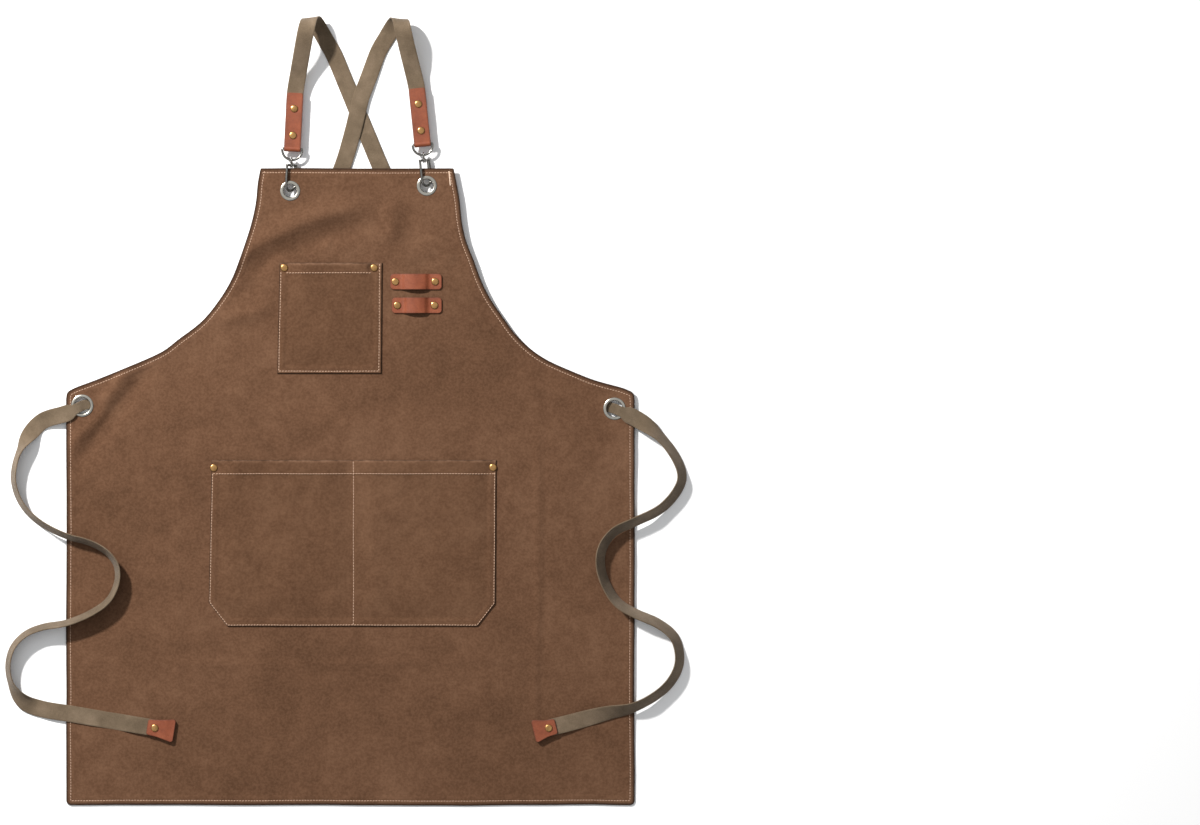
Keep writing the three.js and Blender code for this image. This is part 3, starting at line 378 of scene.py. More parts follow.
def seg_dist(x, y, poly, closed=True):
    """Distance to a polygon's edge."""
    best = np.full(np.shape(x), 1e9)
    n = len(poly)
    for i in range(n if closed else n - 1):
        (ax, ay), (bx, by) = poly[i], poly[(i + 1) % n]
        dx, dy = bx - ax, by - ay
        t = np.clip(((x - ax) * dx + (y - ay) * dy) / max(dx * dx + dy * dy, 1e-9), 0, 1)
        best = np.minimum(best, np.hypot(x - ax - t * dx, y - ay - t * dy))
    return best


def catmull(points, step):
    """Centripetal curve through rows of numbers (the first three are x, y, z), every step mm."""
    p = np.array(points, float)
    keep = [0] + [i for i in range(1, len(p)) if np.linalg.norm(p[i, :3] - p[i - 1, :3]) > 1e-6]
    p = p[keep]
    if len(p) < 3:
        n = max(2, int(np.linalg.norm(p[-1, :3] - p[0, :3]) / step) + 1)
        return np.linspace(p[0], p[-1], n)
    ext = np.vstack([2 * p[0] - p[1], p, 2 * p[-1] - p[-2]])
    out = []
    for i in range(1, len(ext) - 2):
        a, b, c, d = ext[i - 1], ext[i], ext[i + 1], ext[i + 2]
        t1 = max(np.linalg.norm((b - a)[:3]), 1e-6) ** 0.5
        t2 = t1 + max(np.linalg.norm((c - b)[:3]), 1e-6) ** 0.5
        t3 = t2 + max(np.linalg.norm((d - c)[:3]), 1e-6) ** 0.5
        n = max(2, int(math.ceil(np.linalg.norm((c - b)[:3]) / step)))
        for k in range(n):
            t = t1 + (t2 - t1) * k / n
            A1 = (t1 - t) / t1 * a + t / t1 * b
            A2 = (t2 - t) / (t2 - t1) * b + (t - t1) / (t2 - t1) * c
            A3 = (t3 - t) / (t3 - t2) * c + (t - t2) / (t3 - t2) * d
            B1 = (t2 - t) / t2 * A1 + t / t2 * A2
            B2 = (t3 - t) / (t3 - t1) * A2 + (t - t1) / (t3 - t1) * A3
            out.append((t2 - t) / (t2 - t1) * B1 + (t - t1) / (t2 - t1) * B2)
    out.append(p[-1])
    return np.array(out)


# ------------------------------------------------------------------ the lie of the cloth
def eased(points, lead, tail):
    """A side line resampled and smoothed along its length; lead and tail are the straight runs beyond its ends."""
    p = catmull([(x, y, 0.0) for x, y in points], 2.5)[:, :2]
    q = p.copy()
    k = np.exp(-(np.arange(-9, 10) / 3.6) ** 2)
    k /= k.sum()
    for c in range(2):
        ext = np.concatenate([np.linspace(lead[c], p[0, c], 10)[:-1], p[:, c], np.linspace(p[-1, c], tail[c], 10)[1:]])
        q[:, c] = np.convolve(ext, k, "valid")[:len(p)]
    w = np.clip(np.minimum(np.arange(len(p)), np.arange(len(p))[::-1]) / 5.0, 0, 1)[:, None]
    corner = smooth((p[:, 1:2] - 27) / 16)
    w = w * corner
    return [tuple(v) for v in p * (1 - w) + q * w]


def sway(t, seed, amp):
    t = np.asarray(t, float)
    return amp * (noise(t, 0 * t + 3.3, 150, seed) + 0.35 * noise(t, 0 * t + 1.7, 52, seed + 1))


def foot_wave(x):
    return sway(x, 51, 0.9) * smooth((330 - np.abs(x)) / 40)


def brow_wave(x):
    return sway(x, 55, 0.6) * smooth((x + 104) / 30) * smooth((120 - x) / 30)


side_l = [(x + float(sway(y, 61, 0.5)) * float(smooth((y - 30) / 40)), y) for x, y in eased(LEFT_EDGE, (-102, 314), (-341, -10))]
side_r = [(x + float(sway(y, 63, 0.5)) * float(smooth((y - 30) / 40)), y) for x, y in eased(RIGHT_EDGE, (120, 314), (341, -10))]
run_l = [(-341 + float(sway(y, 65, 0.8)) * float(smooth((y + 468) / 40) * smooth((-20 - y) / 40)), float(y)) for y in np.arange(-464, 12, 6.0)]
run_r = [(341 + float(sway(y, 67, 0.8)) * float(smooth((y + 468) / 40) * smooth((-20 - y) / 40)), float(y)) for y in np.arange(-464, 12, 6.0)]
foot = [(float(x), BOTTOM_Y + float(foot_wave(x))) for x in np.linspace(336, -336, 90)]
brow = [(float(x), TOP_Y + float(brow_wave(x))) for x in np.linspace(-106, 122.5, 30)]
OUTLINE = (brow + side_r + run_r[::-1] + [(341, -468), (339.5, -471.5)] + foot + [(-339.5, -471.5), (-341, -468)] + run_l + side_l[::-1])
EDGE_LEFT = sorted([(y, x) for x, y in side_l + run_l] + [(-468, -341), (-471.5, -339.5), (BOTTOM_Y, -336), (TOP_Y, -106)])
EDGE_RIGHT = sorted([(y, x) for x, y in side_r + run_r] + [(-468, 341), (-471.5, 339.5), (BOTTOM_Y, 336), (TOP_Y, 122.5)])


def edge_at(y, table):
    return np.interp(y, [t[0] for t in table], [t[1] for t in table])


FITTINGS = ([(x, y, 13) for x, y in BIB.values()] + [(x, y + 15, 13) for x, y in BIB.values()] + [(x, y, 16) for x, y in WAIST.values()]
            + [(x, y, 7) for x, y in CHEST_RIVETS + HAND_RIVETS]
            + [(x, v[2], 7) for v in LOOPS.values() for x in v[3]])


def calm(x, y):
    """0 at the metal fittings, where the cloth lies as they hold it, 1 away from them."""
    m = np.ones(np.shape(x))
    for fx, fy, r in FITTINGS:
        m = m * smooth((np.hypot(x - fx, y - fy) - r) / 15)
    return m


def fold(x, y, pts, amp, width, skew=0.0):
    """A soft ridge (or valley, amp < 0) along a line of points, fading at its ends."""
    pts = [np.array(p, float) for p in pts]
    total = sum(np.linalg.norm(b - a) for a, b in zip(pts, pts[1:]))
    best, along, side, run = np.full(np.shape(x), 1e9), np.zeros(np.shape(x)), np.zeros(np.shape(x)), 0.0
    for a, b in zip(pts, pts[1:]):
        d = b - a
        length = np.linalg.norm(d)
        t = np.clip(((x - a[0]) * d[0] + (y - a[1]) * d[1]) / length ** 2, 0, 1)
        dist = np.hypot(x - a[0] - t * d[0], y - a[1] - t * d[1])
        s = np.sign((x - a[0]) * -d[1] + (y - a[1]) * d[0])
        near = dist < best
        best, along, side = np.where(near, dist, best), np.where(near, run + t * length, along), np.where(near, s, side)
        run += length
    q = side * best / (width * (1 + skew * side))
    ends = smooth(along / (0.3 * total)) * smooth((total - along) / (0.3 * total))
    return amp * np.exp(-q * q) * ends


def drape(x, y):
    """Wrinkles and hand of the canvas, mm above its plain lie."""
    x, y = np.asarray(x, float), np.asarray(y, float)
    z = 0.80 * noise(x, y, 150, 1) + 0.56 * noise(x, y, 74, 2) + 0.22 * noise(x, y, 33, 3)
    z = z + 0.075 * noise(x * 0.8 + y * 0.6, y * 0.8 - x * 0.6, 13, 4)
    # a soft diagonal fold across the bib: its ridge, then the hollow below it
    z = z + fold(x, y, [(-170, 138), (-118, 196), (-56, 227), (0, 242), (44, 249)], 3.5, 12, 0.2)
    z = z + fold(x, y, [(-150, 118), (-98, 176), (-40, 205), (12, 220), (60, 228)], -2.5, 12)
    z = z + fold(x, y, [(46, 256), (50, 226), (46, 196)], 1.7, 10)
    z = z + fold(x, y, [(70, 250), (73, 220), (66, 192)], -1.4, 12)
    z = z + fold(x, y, [(-34, 192), (-27, 199), (-22, 208)], 0.8, 3.4)
    z = z + fold(x, y, [(-150, 146), (-104, 162), (-64, 186)], 1.3, 9)
    z = z + fold(x, y, [(84, 212), (112, 196), (128, 172)], 1.2, 12)
    z = z + fold(x, y, [(66, 176), (92, 178), (120, 190)], -0.6, 9)
    z = z + fold(x, y, [(-168, 108), (-120, 116), (-84, 132)], 1.5, 9)
    # the pull from the left waist eyelet down to the side edge
    z = z + fold(x, y, [(-244, 80), (-276, 38), (-352, -66)], 2.8, 8.5, 0.2)
    z = z + fold(x, y, [(-228, 66), (-258, 28), (-338, -80)], -2.6, 10)
    z = z + fold(x, y, [(-300, -62), (-322, -88), (-341, -96)], 0.8, 9)
    z = z + fold(x, y, [(-262, -66), (-296, -96), (-330, -122)], 0.7, 12)
    z = z + fold(x, y, [(338, -40), (296, -14), (258, 22), (226, 52)], 1.2, 11, 0.2)
    z = z + fold(x, y, [(330, -62), (286, -34), (246, 0), (212, 30)], -0.9, 12)
    # fold lines pressed in packing
    z = z + fold(x, y, [(224, 40), (226, -160), (222, -330), (223, -470)], 0.75, 4.0)
    z = z + fold(x, y, [(232, 40), (234, -160), (230, -330), (231, -470)], -0.35, 5.0)
    z = z + fold(x, y, [(-208, -40), (-206, -200), (-209, -455)], 0.45, 5)
    z = z + fold(x, y, [(-320, -300), (-60, -306), (150, -298), (320, -304)], 0.4, 5)
    z = z + fold(x, y, [(-120, -440), (-40, -372), (60, -350)], 0.8, 18)
    z = z + fold(x, y, [(120, -320), (230, -372), (325, -388)], 0.9, 16)
    z = z + fold(x, y, [(-330, -330), (-270, -396), (-230, -462)], 0.9, 15)
    z = z + fold(x, y, [(-300, -150), (-250, -196), (-190, -214)], 0.8, 13)
    z = z + fold(x, y, [(-200, 60), (-150, 20), (-60, -12), (60, -24)], 1.0, 16)
    z = z + fold(x, y, [(60, 92), (130, 60), (180, 30)], 1.0, 14)
    z = z * 1.4
    return z * calm(x, y)


def body_mid(x, y, d):
    """Underside of the single cloth; never into the surface it lies on."""
    lift = 0.9 * smooth((60 - d) / 60) * smooth((y + 473) / 40) * 0.0
    return np.maximum(lie(y) + drape(x, y) + lift, 0.85 + 0.0 * x)


def hem_wave(x, y, d):
    s = x + y
    ripple = np.sin(s / 1.55 + 2.2 * noise(x, y, 40, 7)) * (0.55 + 0.45 * noise(x, y, 60, 8))
    return 0.13 * ripple * np.exp(-((d - 5) / 5.0) ** 2)


def body_top(x, y, d=None):
    x, y = np.asarray(x, float), np.asarray(y, float)
    d = seg_dist(x, y, OUTLINE) if d is None else d
    z = body_mid(x, y, d) + CLOTH + hem_wave(x, y, d) * calm(x, y)
    z = z + 0.22 * smooth((11.6 - d) / 1.4) * smooth((d + 0.5) / 2) - 0.30 * np.exp(-((d - 5.5) / 0.75) ** 2)
    return z - 1.05 * (1 - np.sqrt(np.clip(1 - (1 - np.clip(d / 1.5, 0, 1)) ** 2, 0, 1)))


def hook_room(x, y):
    """0 where a snap hook lies under the bib's hem, which is pared thin there."""
    k = np.ones(np.shape(x))
    for turn, (ex, ey) in SIDES.values():
        off = np.abs((x - ex) * math.cos(turn) + (y - ey) * math.sin(turn))
        k = k * np.where(y > ey - 18, smooth((off - 10.5) / 6), 1)
    return k


def body_bottom(x, y, d=None):
    x, y = np.asarray(x, float), np.asarray(y, float)
    d = seg_dist(x, y, OUTLINE) if d is None else d
    z = body_mid(x, y, d) + hem_wave(x, y, d) * calm(x, y) - 0.78 * smooth((11.6 - d) / 0.9) * hook_room(x, y) + 0.25 * np.exp(-((d - 5.5) / 0.75) ** 2)
    return z + 0.85 * (1 - np.sqrt(np.clip(1 - (1 - np.clip(d / 1.3, 0, 1)) ** 2, 0, 1)))


# ------------------------------------------------------------------ mesh makers
def new_object(name, verts, faces, mats, smooth_shade=True, sharp=None, attrs=None, uv=None):
    mesh = bpy.data.meshes.new(name)
    mesh.from_pydata([tuple(v) for v in (np.asarray(verts) * MM).tolist()], [], faces)
    mesh.update()
    if smooth_shade:
        mesh.polygons.foreach_set("use_smooth", [True] * len(mesh.polygons))
        if sharp is not None:
            mesh.set_sharp_from_angle(angle=math.radians(sharp))
    for key, values in (attrs or {}).items():
        a = mesh.attributes.new(key, "FLOAT", "POINT")
        a.data.foreach_set("value", np.asarray(values, np.float32))
    if uv is not None:
        layer = mesh.uv_layers.new(name="UVMap")
        loops = np.zeros(len(mesh.loops), np.int32)
        mesh.loops.foreach_get("vertex_index", loops)
        layer.data.foreach_set("uv", np.asarray(uv, np.float32)[loops].ravel())
    o = bpy.data.objects.new(name, mesh)
    scene.collection.objects.link(o)
    o.data.materials.append(mats)
    return o


def sheet_mesh(name, xs, ys, top, bottom, mat, holes=(), attrs=None):
    """Closed sheet over a grid: xs[r][c], ys[r][c], with its top and underside heights."""
    R, C = xs.shape
    for hx, hy, hr in holes:
        r = np.hypot(xs - hx, ys - hy)
        near = (np.abs(r - hr) < 2.4) & (r > 0.1)
        k = np.where(near, hr / np.maximum(r, 0.1), 1)
        xs, ys = hx + (xs - hx) * k, hy + (ys - hy) * k
    zt, zb = top(xs, ys), bottom(xs, ys)
    zb = np.minimum(zb, zt - 0.05)
    verts = np.concatenate([np.stack([xs, ys, zt], -1).reshape(-1, 3), np.stack([xs, ys, zb], -1).reshape(-1, 3)])
    keep = np.ones((R - 1, C - 1), bool)
    cx = (xs[:-1, :-1] + xs[1:, 1:] + xs[1:, :-1] + xs[:-1, 1:]) / 4
    cy = (ys[:-1, :-1] + ys[1:, 1:] + ys[1:, :-1] + ys[:-1, 1:]) / 4
    for hx, hy, hr in holes:
        keep &= np.hypot(cx - hx, cy - hy) > hr
    idx = np.arange(R * C).reshape(R, C)
    a, b, c, d = idx[:-1, :-1][keep], idx[:-1, 1:][keep], idx[1:, 1:][keep], idx[1:, :-1][keep]
    n = R * C
    faces = [np.stack([a, b, c, d], 1), np.stack([d, c, b, a], 1) + n]
    pad = np.zeros((R + 1, C + 1), bool)
    pad[1:-1, 1:-1] = keep
    walls = []
    for r in range(R):
        for col in np.nonzero(pad[r, 1:-1] != pad[r + 1, 1:-1])[0]:
            p, q = idx[r, col], idx[r, col + 1]
            walls.append([p, p + n, q + n, q] if pad[r + 1, col + 1] else [q, q + n, p + n, p])
    for col in range(C):
        for r in np.nonzero(pad[1:-1, col] != pad[1:-1, col + 1])[0]:
            p, q = idx[r, col], idx[r + 1, col]
            walls.append([q, q + n, p + n, p] if pad[r + 1, col + 1] else [p, p + n, q + n, q])
    allf = np.concatenate(faces + ([np.array(walls)] if walls else [])).tolist()
    used = np.zeros(2 * n, bool)
    used[np.unique(np.array(allf).ravel())] = True
    remap = np.cumsum(used) - 1
    allf = remap[np.array(allf)].tolist()
    at = {k: np.concatenate([v(xs, ys).ravel(), v(xs, ys).ravel()])[used] for k, v in (attrs or {}).items()}
    return new_object(name, verts[used], allf, mat, sharp=50, attrs=at)


EDGE_STEPS = [0, 0.25, 0.7, 1.3, 2.1, 3.0, 4.0, 4.75, 5.5, 6.25, 7.2, 8.6, 10.2, 11.0, 11.8, 13.2, 15.5, 18.5]


def steps_between(lo, hi, pitch, offsets):
    """Positions from lo to hi, packed at both ends."""
    span = hi - lo
    offs = [o for o in offsets if o < span * 0.45]
    n = max(2, int((span - 2 * offs[-1]) / pitch))
    return np.array([lo + o for o in offs] + list(np.linspace(lo + offs[-1], hi - offs[-1], n + 1)[1:-1]) + [hi - o for o in offs[::-1]])


def sweep_mesh(name, centres, across, section, mat, width=None, depth=None, closed=False, uv_scale=0.1, sharp=40, caps=True, attrs=None, up=None):
    """Carries a section (x across, y through) along centres; across is the section's x direction."""
    c = np.asarray(centres, float)
    n, m = len(c), len(section)
    t = np.gradient(c, axis=0)
    if closed:
        t = np.roll(c, -1, 0) - np.roll(c, 1, 0)
    t /= np.linalg.norm(t, axis=1)[:, None]
    w = np.asarray(across, float)
    if w.ndim == 1:
        w = np.tile(w, (n, 1))
    w = w - (w * t).sum(1)[:, None] * t
    w /= np.linalg.norm(w, axis=1)[:, None]
    b = np.cross(t, w)
    width = np.ones(n) if width is None else np.asarray(width, float)
    sec = np.asarray(section, float)
    depth = np.ones(n) if depth is None else np.asarray(depth, float)
    v = c[:, None, :] + (w * width[:, None])[:, None, :] * sec[None, :, :1] + (b * depth[:, None])[:, None, :] * sec[None, :, 1:2]
    idx = np.arange(n * m).reshape(n, m)
    rows = range(n if closed else n - 1)
    faces = []
    for i in rows:
        j = (i + 1) % n
        p, q = idx[i], idx[j]
        faces += np.stack([p, np.roll(p, -1), np.roll(q, -1), q], 1).tolist()
    verts = v.reshape(-1, 3)
    if not closed and caps:
        faces += [idx[0][::-1].tolist(), idx[-1].tolist()]
    s = np.concatenate([[0], np.cumsum(np.linalg.norm(np.diff(c, axis=0), axis=1))])
    uv = np.stack([np.tile(sec[:, 0], n), np.repeat(s, m)], 1) * uv_scale
    area = np.array(section)
    x, y = area[:, 0], area[:, 1]
    if (x * np.roll(y, -1) - y * np.roll(x, -1)).sum() < 0:
        faces = [f[::-1] for f in faces]
    at = {}
    if attrs:
        at = {k: fn(np.tile(sec[:, 0], n), np.tile(sec[:, 1], n), np.repeat(s, m)) for k, fn in attrs.items()}
    return new_object(name, verts, faces, mat, sharp=sharp, uv=uv, attrs=at)


def rounded_section(w, h, r, across=8, arc=3, rib=0.0):
    """Rounded rectangle, anticlockwise; rib swells the two edges a little."""
    pts = []
    xs = np.linspace(-w / 2 + r, w / 2 - r, across + 1)
    swell = lambda x: rib * math.exp(-((abs(x) - (w / 2 - 1.1)) / 0.8) ** 2)
    pts += [(x, -h / 2 - swell(x)) for x in xs]
    pts += [(w / 2 - r + r * math.sin(a), -h / 2 + r - r * math.cos(a)) for a in np.linspace(0, math.pi / 2, arc + 1)[1:]]
    pts += [(w / 2 - r + r * math.cos(a), h / 2 - r + r * math.sin(a)) for a in np.linspace(0, math.pi / 2, arc + 1)][(1 if h - 2 * r < 1e-6 else 0):]
    pts += [(x, h / 2 + swell(x)) for x in xs[::-1][1:]]
    pts += [(-w / 2 + r - r * math.sin(a), h / 2 - r + r * math.cos(a)) for a in np.linspace(0, math.pi / 2, arc + 1)[1:]]
    pts += [(-w / 2 + r - r * math.cos(a), -h / 2 + r - r * math.sin(a)) for a in np.linspace(0, math.pi / 2, arc + 1)][(1 if h - 2 * r < 1e-6 else 0):-1]
    out = []
    for p in pts:
        if not out or math.hypot(p[0] - out[-1][0], p[1] - out[-1][1]) > 1e-4:
            out.append(p)
    if math.hypot(out[0][0] - out[-1][0], out[0][1] - out[-1][1]) < 1e-4:
        out.pop()
    return out


def circle(r, n=16):
    return [(r * math.cos(2 * math.pi * i / n), r * math.sin(2 * math.pi * i / n)) for i in range(n)]


def lathe(name, profile, mat, at=(0, 0, 0), axis="z", n=40, sharp=35, closed=False, matrix=None):
    """profile: (radius, height) from bottom to top; starts and ends on the axis unless closed."""
    prof = [(float(r), float(z)) for r, z in profile]
    verts, rings = [], []
    for r, z in prof:
        if r < 1e-6 and not closed:
            rings.append([len(verts)])
            verts.append((0, 0, z))
        else:
            rings.append(list(range(len(verts), len(verts) + n)))
            verts += [(r * math.cos(2 * math.pi * i / n), r * math.sin(2 * math.pi * i / n), z) for i in range(n)]
    faces = []
    pairs = list(zip(rings, rings[1:])) + ([(rings[-1], rings[0])] if closed else [])
    for a, b in pairs:
        for i in range(n):
            j = (i + 1) % n
            if len(a) == 1 and len(b) == 1:
                continue
            if len(a) == 1:
                faces.append([a[0], b[j], b[i]])
            elif len(b) == 1:
                faces.append([a[i], a[j], b[0]])
            else:
                faces.append([a[i], a[j], b[j], b[i]])
    v = np.array(verts, float)
    if axis == "y":
        v = v[:, [1, 2, 0]]
    v = v + np.array(at, float)
    if matrix is not None:
        v = np.c_[v, np.ones(len(v))] @ np.array(matrix).T
        v = v[:, :3]
    return new_object(name, v, faces, mat, sharp=sharp)


def moved(o, matrix):
    """Mesh moved by a matrix in mm."""
    m = Matrix([list(r) for r in matrix])
    m.translation = m.translation * MM
    o.data.transform(m)
    return o


def join(name, objs):
    """Several meshes made into one piece."""
    verts, faces, mats, base = [], [], objs[0].data.materials[0], 0
    sm = []
    for o in objs:
        me = o.data
        co = np.zeros(len(me.vertices) * 3)
        me.vertices.foreach_get("co", co)
        verts.append(co.reshape(-1, 3) / MM)
        faces += [[base + i for i in p.vertices] for p in me.polygons]
        base += len(me.vertices)
    for o in objs:
        bpy.data.objects.remove(o)
    return new_object(name, np.concatenate(verts), faces, mats, sharp=38)


def fix_normals(o):
    import bmesh
    bm = bmesh.new()
    bm.from_mesh(o.data)
    bmesh.ops.recalc_face_normals(bm, faces=bm.faces)
    bm.to_mesh(o.data)
    bm.free()
    return o


def stitches(name, paths, height, mat, pitch=3.4, length=2.9, radius=0.44, sink=0.12, sign=1):
    """Separate raised stitches along plan paths, each a small tapered loop of thread."""
    ring_n, prof = 6, [(-0.5, 0.0, -0.9), (-0.42, 0.62, -0.25), (-0.2, 1.0, 0.12), (0.2, 1.0, 0.12), (0.42, 0.62, -0.25), (0.5, 0.0, -0.9)]
    px, py, tx, ty = [], [], [], []
    for path in paths:
        p = np.array(path, float)
        d = np.linalg.norm(np.diff(p, axis=0), axis=1)
        s = np.concatenate([[0], np.cumsum(d)])
        count = max(1, int(s[-1] / pitch))
        q = (np.arange(count) + 0.5) * s[-1] / count
        x, y = np.interp(q, s, p[:, 0]), np.interp(q, s, p[:, 1])
        x2, y2 = np.interp(q + 0.6, s, p[:, 0]), np.interp(q + 0.6, s, p[:, 1])
        x1, y1 = np.interp(q - 0.6, s, p[:, 0]), np.interp(q - 0.6, s, p[:, 1])
        n = np.hypot(x2 - x1, y2 - y1)
        px.append(x); py.append(y); tx.append((x2 - x1) / n); ty.append((y2 - y1) / n)
    px, py, tx, ty = map(np.concatenate, (px, py, tx, ty))
    # a little handwork: stitches wander and slant
    k = np.arange(len(px))
    slant = 0.10 * np.sin(k * 12.9898) + 0.07
    wander = 0.12 * np.sin(k * 0.21) + 0.06 * np.sin(k * 4.37)
    px, py = px - ty * wander, py + tx * wander
    c, s_ = np.cos(slant), np.sin(slant)
    tx, ty = tx * c - ty * s_, tx * s_ + ty * c
    # height at both ends and the middle, so that each follows the cloth
    h0, hm, h1 = (height(px + e * length * tx, py + e * length * ty) for e in (-0.5, 0, 0.5))
    verts, faces = [], []
    base = 0
    V = []
    for u, rad, dz in prof:
        hz = np.where(u < 0, hm + (h0 - hm) * (-2 * u), hm + (h1 - hm) * (2 * u)) + sign * (radius * (0.62 + dz) - sink)
        cx, cy = px + u * length * tx, py + u * length * ty
        if rad == 0:
            V.append(np.stack([cx, cy, hz], 1)[:, None, :])
        else:
            a = 2 * np.pi * np.arange(ring_n) / ring_n
            ox = -ty[:, None] * np.cos(a) * radius * rad
            oy = tx[:, None] * np.cos(a) * radius * rad
            oz = np.sin(a)[None, :] * radius * rad * 0.85
            V.append(np.stack([cx[:, None] + ox, cy[:, None] + oy, hz[:, None] + oz], 2))
    V = np.concatenate(V, 1)
    per = V.shape[1]
    pattern = []
    r0 = [1 + i for i in range(ring_n)]
    for i in range(ring_n):
        pattern.append([0, r0[(i + 1) % ring_n], r0[i]])
    rings = [[1 + k_ * ring_n + i for i in range(ring_n)] for k_ in range(4)]
    for a, b in zip(rings, rings[1:]):
        for i in range(ring_n):
            j = (i + 1) % ring_n
            pattern.append([a[i], a[j], b[j], b[i]])
    last = per - 1
    for i in range(ring_n):
        pattern.append([rings[-1][i], rings[-1][(i + 1) % ring_n], last])
    faces = [[b0 + i for i in f] for b0 in range(0, per * len(px), per) for f in pattern]
    return fix_normals(new_object(name, V.reshape(-1, 3), faces, mat))


# ------------------------------------------------------------------ materials
def lin(r, g, b):
    f = lambda c: (c / 255) / 12.92 if c / 255 <= 0.04045 else (((c / 255) + 0.055) / 1.055) ** 2.4
    return (f(r), f(g), f(b), 1)


class Mat:
    def __init__(self, name, rough=0.8, metal=0.0, spec=0.3, sheen=0.0):
        self.m = bpy.data.materials.new(name)
        self.m.use_nodes = True
        self.t = self.m.node_tree
        self.b = self.t.nodes["Principled BSDF"]
        self.b.inputs["Roughness"].default_value = rough
        self.b.inputs["Metallic"].default_value = metal
        self.b.inputs["Specular IOR Level"].default_value = spec
        if sheen:
            self.b.inputs["Sheen Weight"].default_value = sheen
            self.b.inputs["Sheen Roughness"].default_value = 0.5
        self.coord = self.t.nodes.new("ShaderNodeTexCoord")

    def n(self, kind, **inputs):
        node = self.t.nodes.new(kind)
        for k, v in inputs.items():
            key = k.replace("_", " ")
            if key in node.inputs:
                if hasattr(v, "links"):
                    self.t.links.new(v, node.inputs[key])
                else:
                    node.inputs[key].default_value = v
            else:
                setattr(node, k, v)
        return node

    def link(self, a, b):
        self.t.links.new(a, b)

    def noise(self, scale, detail=3, rough=0.55, vector=None, distortion=0.0):
        node = self.n("ShaderNodeTexNoise", Scale=scale, Detail=detail, Roughness=rough, Distortion=distortion)
        self.link(vector or self.coord.outputs["Object"], node.inputs["Vector"])
        return node.outputs["Fac"]

    def math(self, op, a, b=None, c=None):
        node = self.n("ShaderNodeMath", operation=op)
        for i, v in enumerate([a, b, c]):
            if v is None:
                continue
            if hasattr(v, "links"):
                self.link(v, node.inputs[i])
            else:
                node.inputs[i].default_value = v
        return node.outputs[0]

    def ramp(self, fac, stops):
        node = self.n("ShaderNodeValToRGB")
        self.link(fac, node.inputs["Fac"])
        cr = node.color_ramp
        while len(cr.elements) < len(stops):
            cr.elements.new(0.5)
        for e, (p, c) in zip(cr.elements, stops):
            e.position = p
            e.color = c if len(c) == 4 else (*c, 1)
        return node.outputs["Color"]

    def mix(self, fac, a, b, blend="MIX"):
        node = self.n("ShaderNodeMix")
        node.data_type = "RGBA"
        node.blend_type = blend
        for sock, v in ((node.inputs[0], fac), (node.inputs[6], a), (node.inputs[7], b)):
            if hasattr(v, "links"):
                self.link(v, sock)
            else:
                sock.default_value = v
        return node.outputs[2]

    def bump(self, height, strength=0.3, distance=0.001, normal=None):
        node = self.n("ShaderNodeBump", Strength=strength, Distance=distance)
        self.link(height, node.inputs["Height"])
        if normal is not None:
            self.link(normal, node.inputs["Normal"])
        return node.outputs["Normal"]

    def done(self, color=None, normal=None, rough=None):
        if color is not None:
            self.link(color, self.b.inputs["Base Color"])
        if normal is not None:
            self.link(normal, self.b.inputs["Normal"])
        if rough is not None:
            self.link(rough, self.b.inputs["Roughness"])
        return self.m


def attribute(m, name):
    node = m.n("ShaderNodeAttribute")
    node.attribute_name = name
    return node.outputs["Fac"]


def canvas_material(name, dark, mid, light):
    m = Mat(name, rough=0.92, spec=0.1, sheen=0.02)
    big = m.noise(4.2, 3, 0.5)
    cloud = m.noise(26, 5, 0.62, distortion=0.35)
    fine = m.noise(330, 4, 0.68)
    mottle = m.noise(95, 4, 0.65)
    t = m.math("ADD", m.math("MULTIPLY", big, 0.38), m.math("ADD", m.math("MULTIPLY", cloud, 0.37), m.math("MULTIPLY", mottle, 0.25)))
    col = m.ramp(t, [(0.37, dark), (0.5, mid), (0.63, light)])
    col = m.mix(m.math("MULTIPLY", m.ramp(fine, [(0.42, (0, 0, 0)), (0.58, (1, 1, 1))]), 0.55), m.mix(0.4, col, dark), m.mix(0.5, col, light))
    # plain weave: warp and weft threads just under a millimetre apart
    sep = m.n("ShaderNodeSeparateXYZ")
    m.link(m.coord.outputs["Object"], sep.inputs[0])
    pitch = 2 * math.pi / 0.0009
    wob = m.math("MULTIPLY", m.noise(55, 2), 2.6)
    wx = m.math("SINE", m.math("ADD", m.math("MULTIPLY", sep.outputs["X"], pitch), wob))
    wy = m.math("SINE", m.math("ADD", m.math("MULTIPLY", sep.outputs["Y"], pitch), wob))
    over = m.math("MULTIPLY", wx, wy)
    ridges = m.math("ADD", m.math("MULTIPLY", over, 0.5), m.math("ADD", m.math("MULTIPLY", wx, 0.22), m.math("MULTIPLY", wy, 0.22)))
    slub = m.noise(380, 2, 0.7)
    height = m.math("ADD", m.math("MULTIPLY", ridges, 0.5), m.math("MULTIPLY", slub, 0.8))
    shade = m.math("MULTIPLY_ADD", ridges, 0.5, 0.5)
    col = m.mix(m.math("MULTIPLY", shade, 0.16), col, m.mix(0.5, dark, (0.02, 0.012, 0.008, 1)))
    # painted shade: the cloth's colour is darkened along its rolled edges, and on the body also in the groove of the
    # hem's stitch line, where shade falls
    painted_edge_shade = attribute(m, "edge")
    col = m.mix(m.math("MULTIPLY", painted_edge_shade, 0.92), col, m.mix(0.8, dark, (0.01, 0.006, 0.004, 1)))
    rub = m.math("MULTIPLY", attribute(m, "rub"), m.ramp(m.noise(120, 3, 0.7), [(0.35, (0.1, 0.1, 0.1)), (0.7, (1, 1, 1))]))
    col = m.mix(m.math("MULTIPLY", rub, 0.42), col, lin(158, 122, 98))
    normal = m.bump(height, 0.5, 0.00022)
    normal = m.bump(m.noise(44, 4, 0.6), 0.35, 0.0011, normal)
    rough = m.math("MULTIPLY_ADD", cloud, 0.18, 0.8)
    return m.done(col, normal, rough)


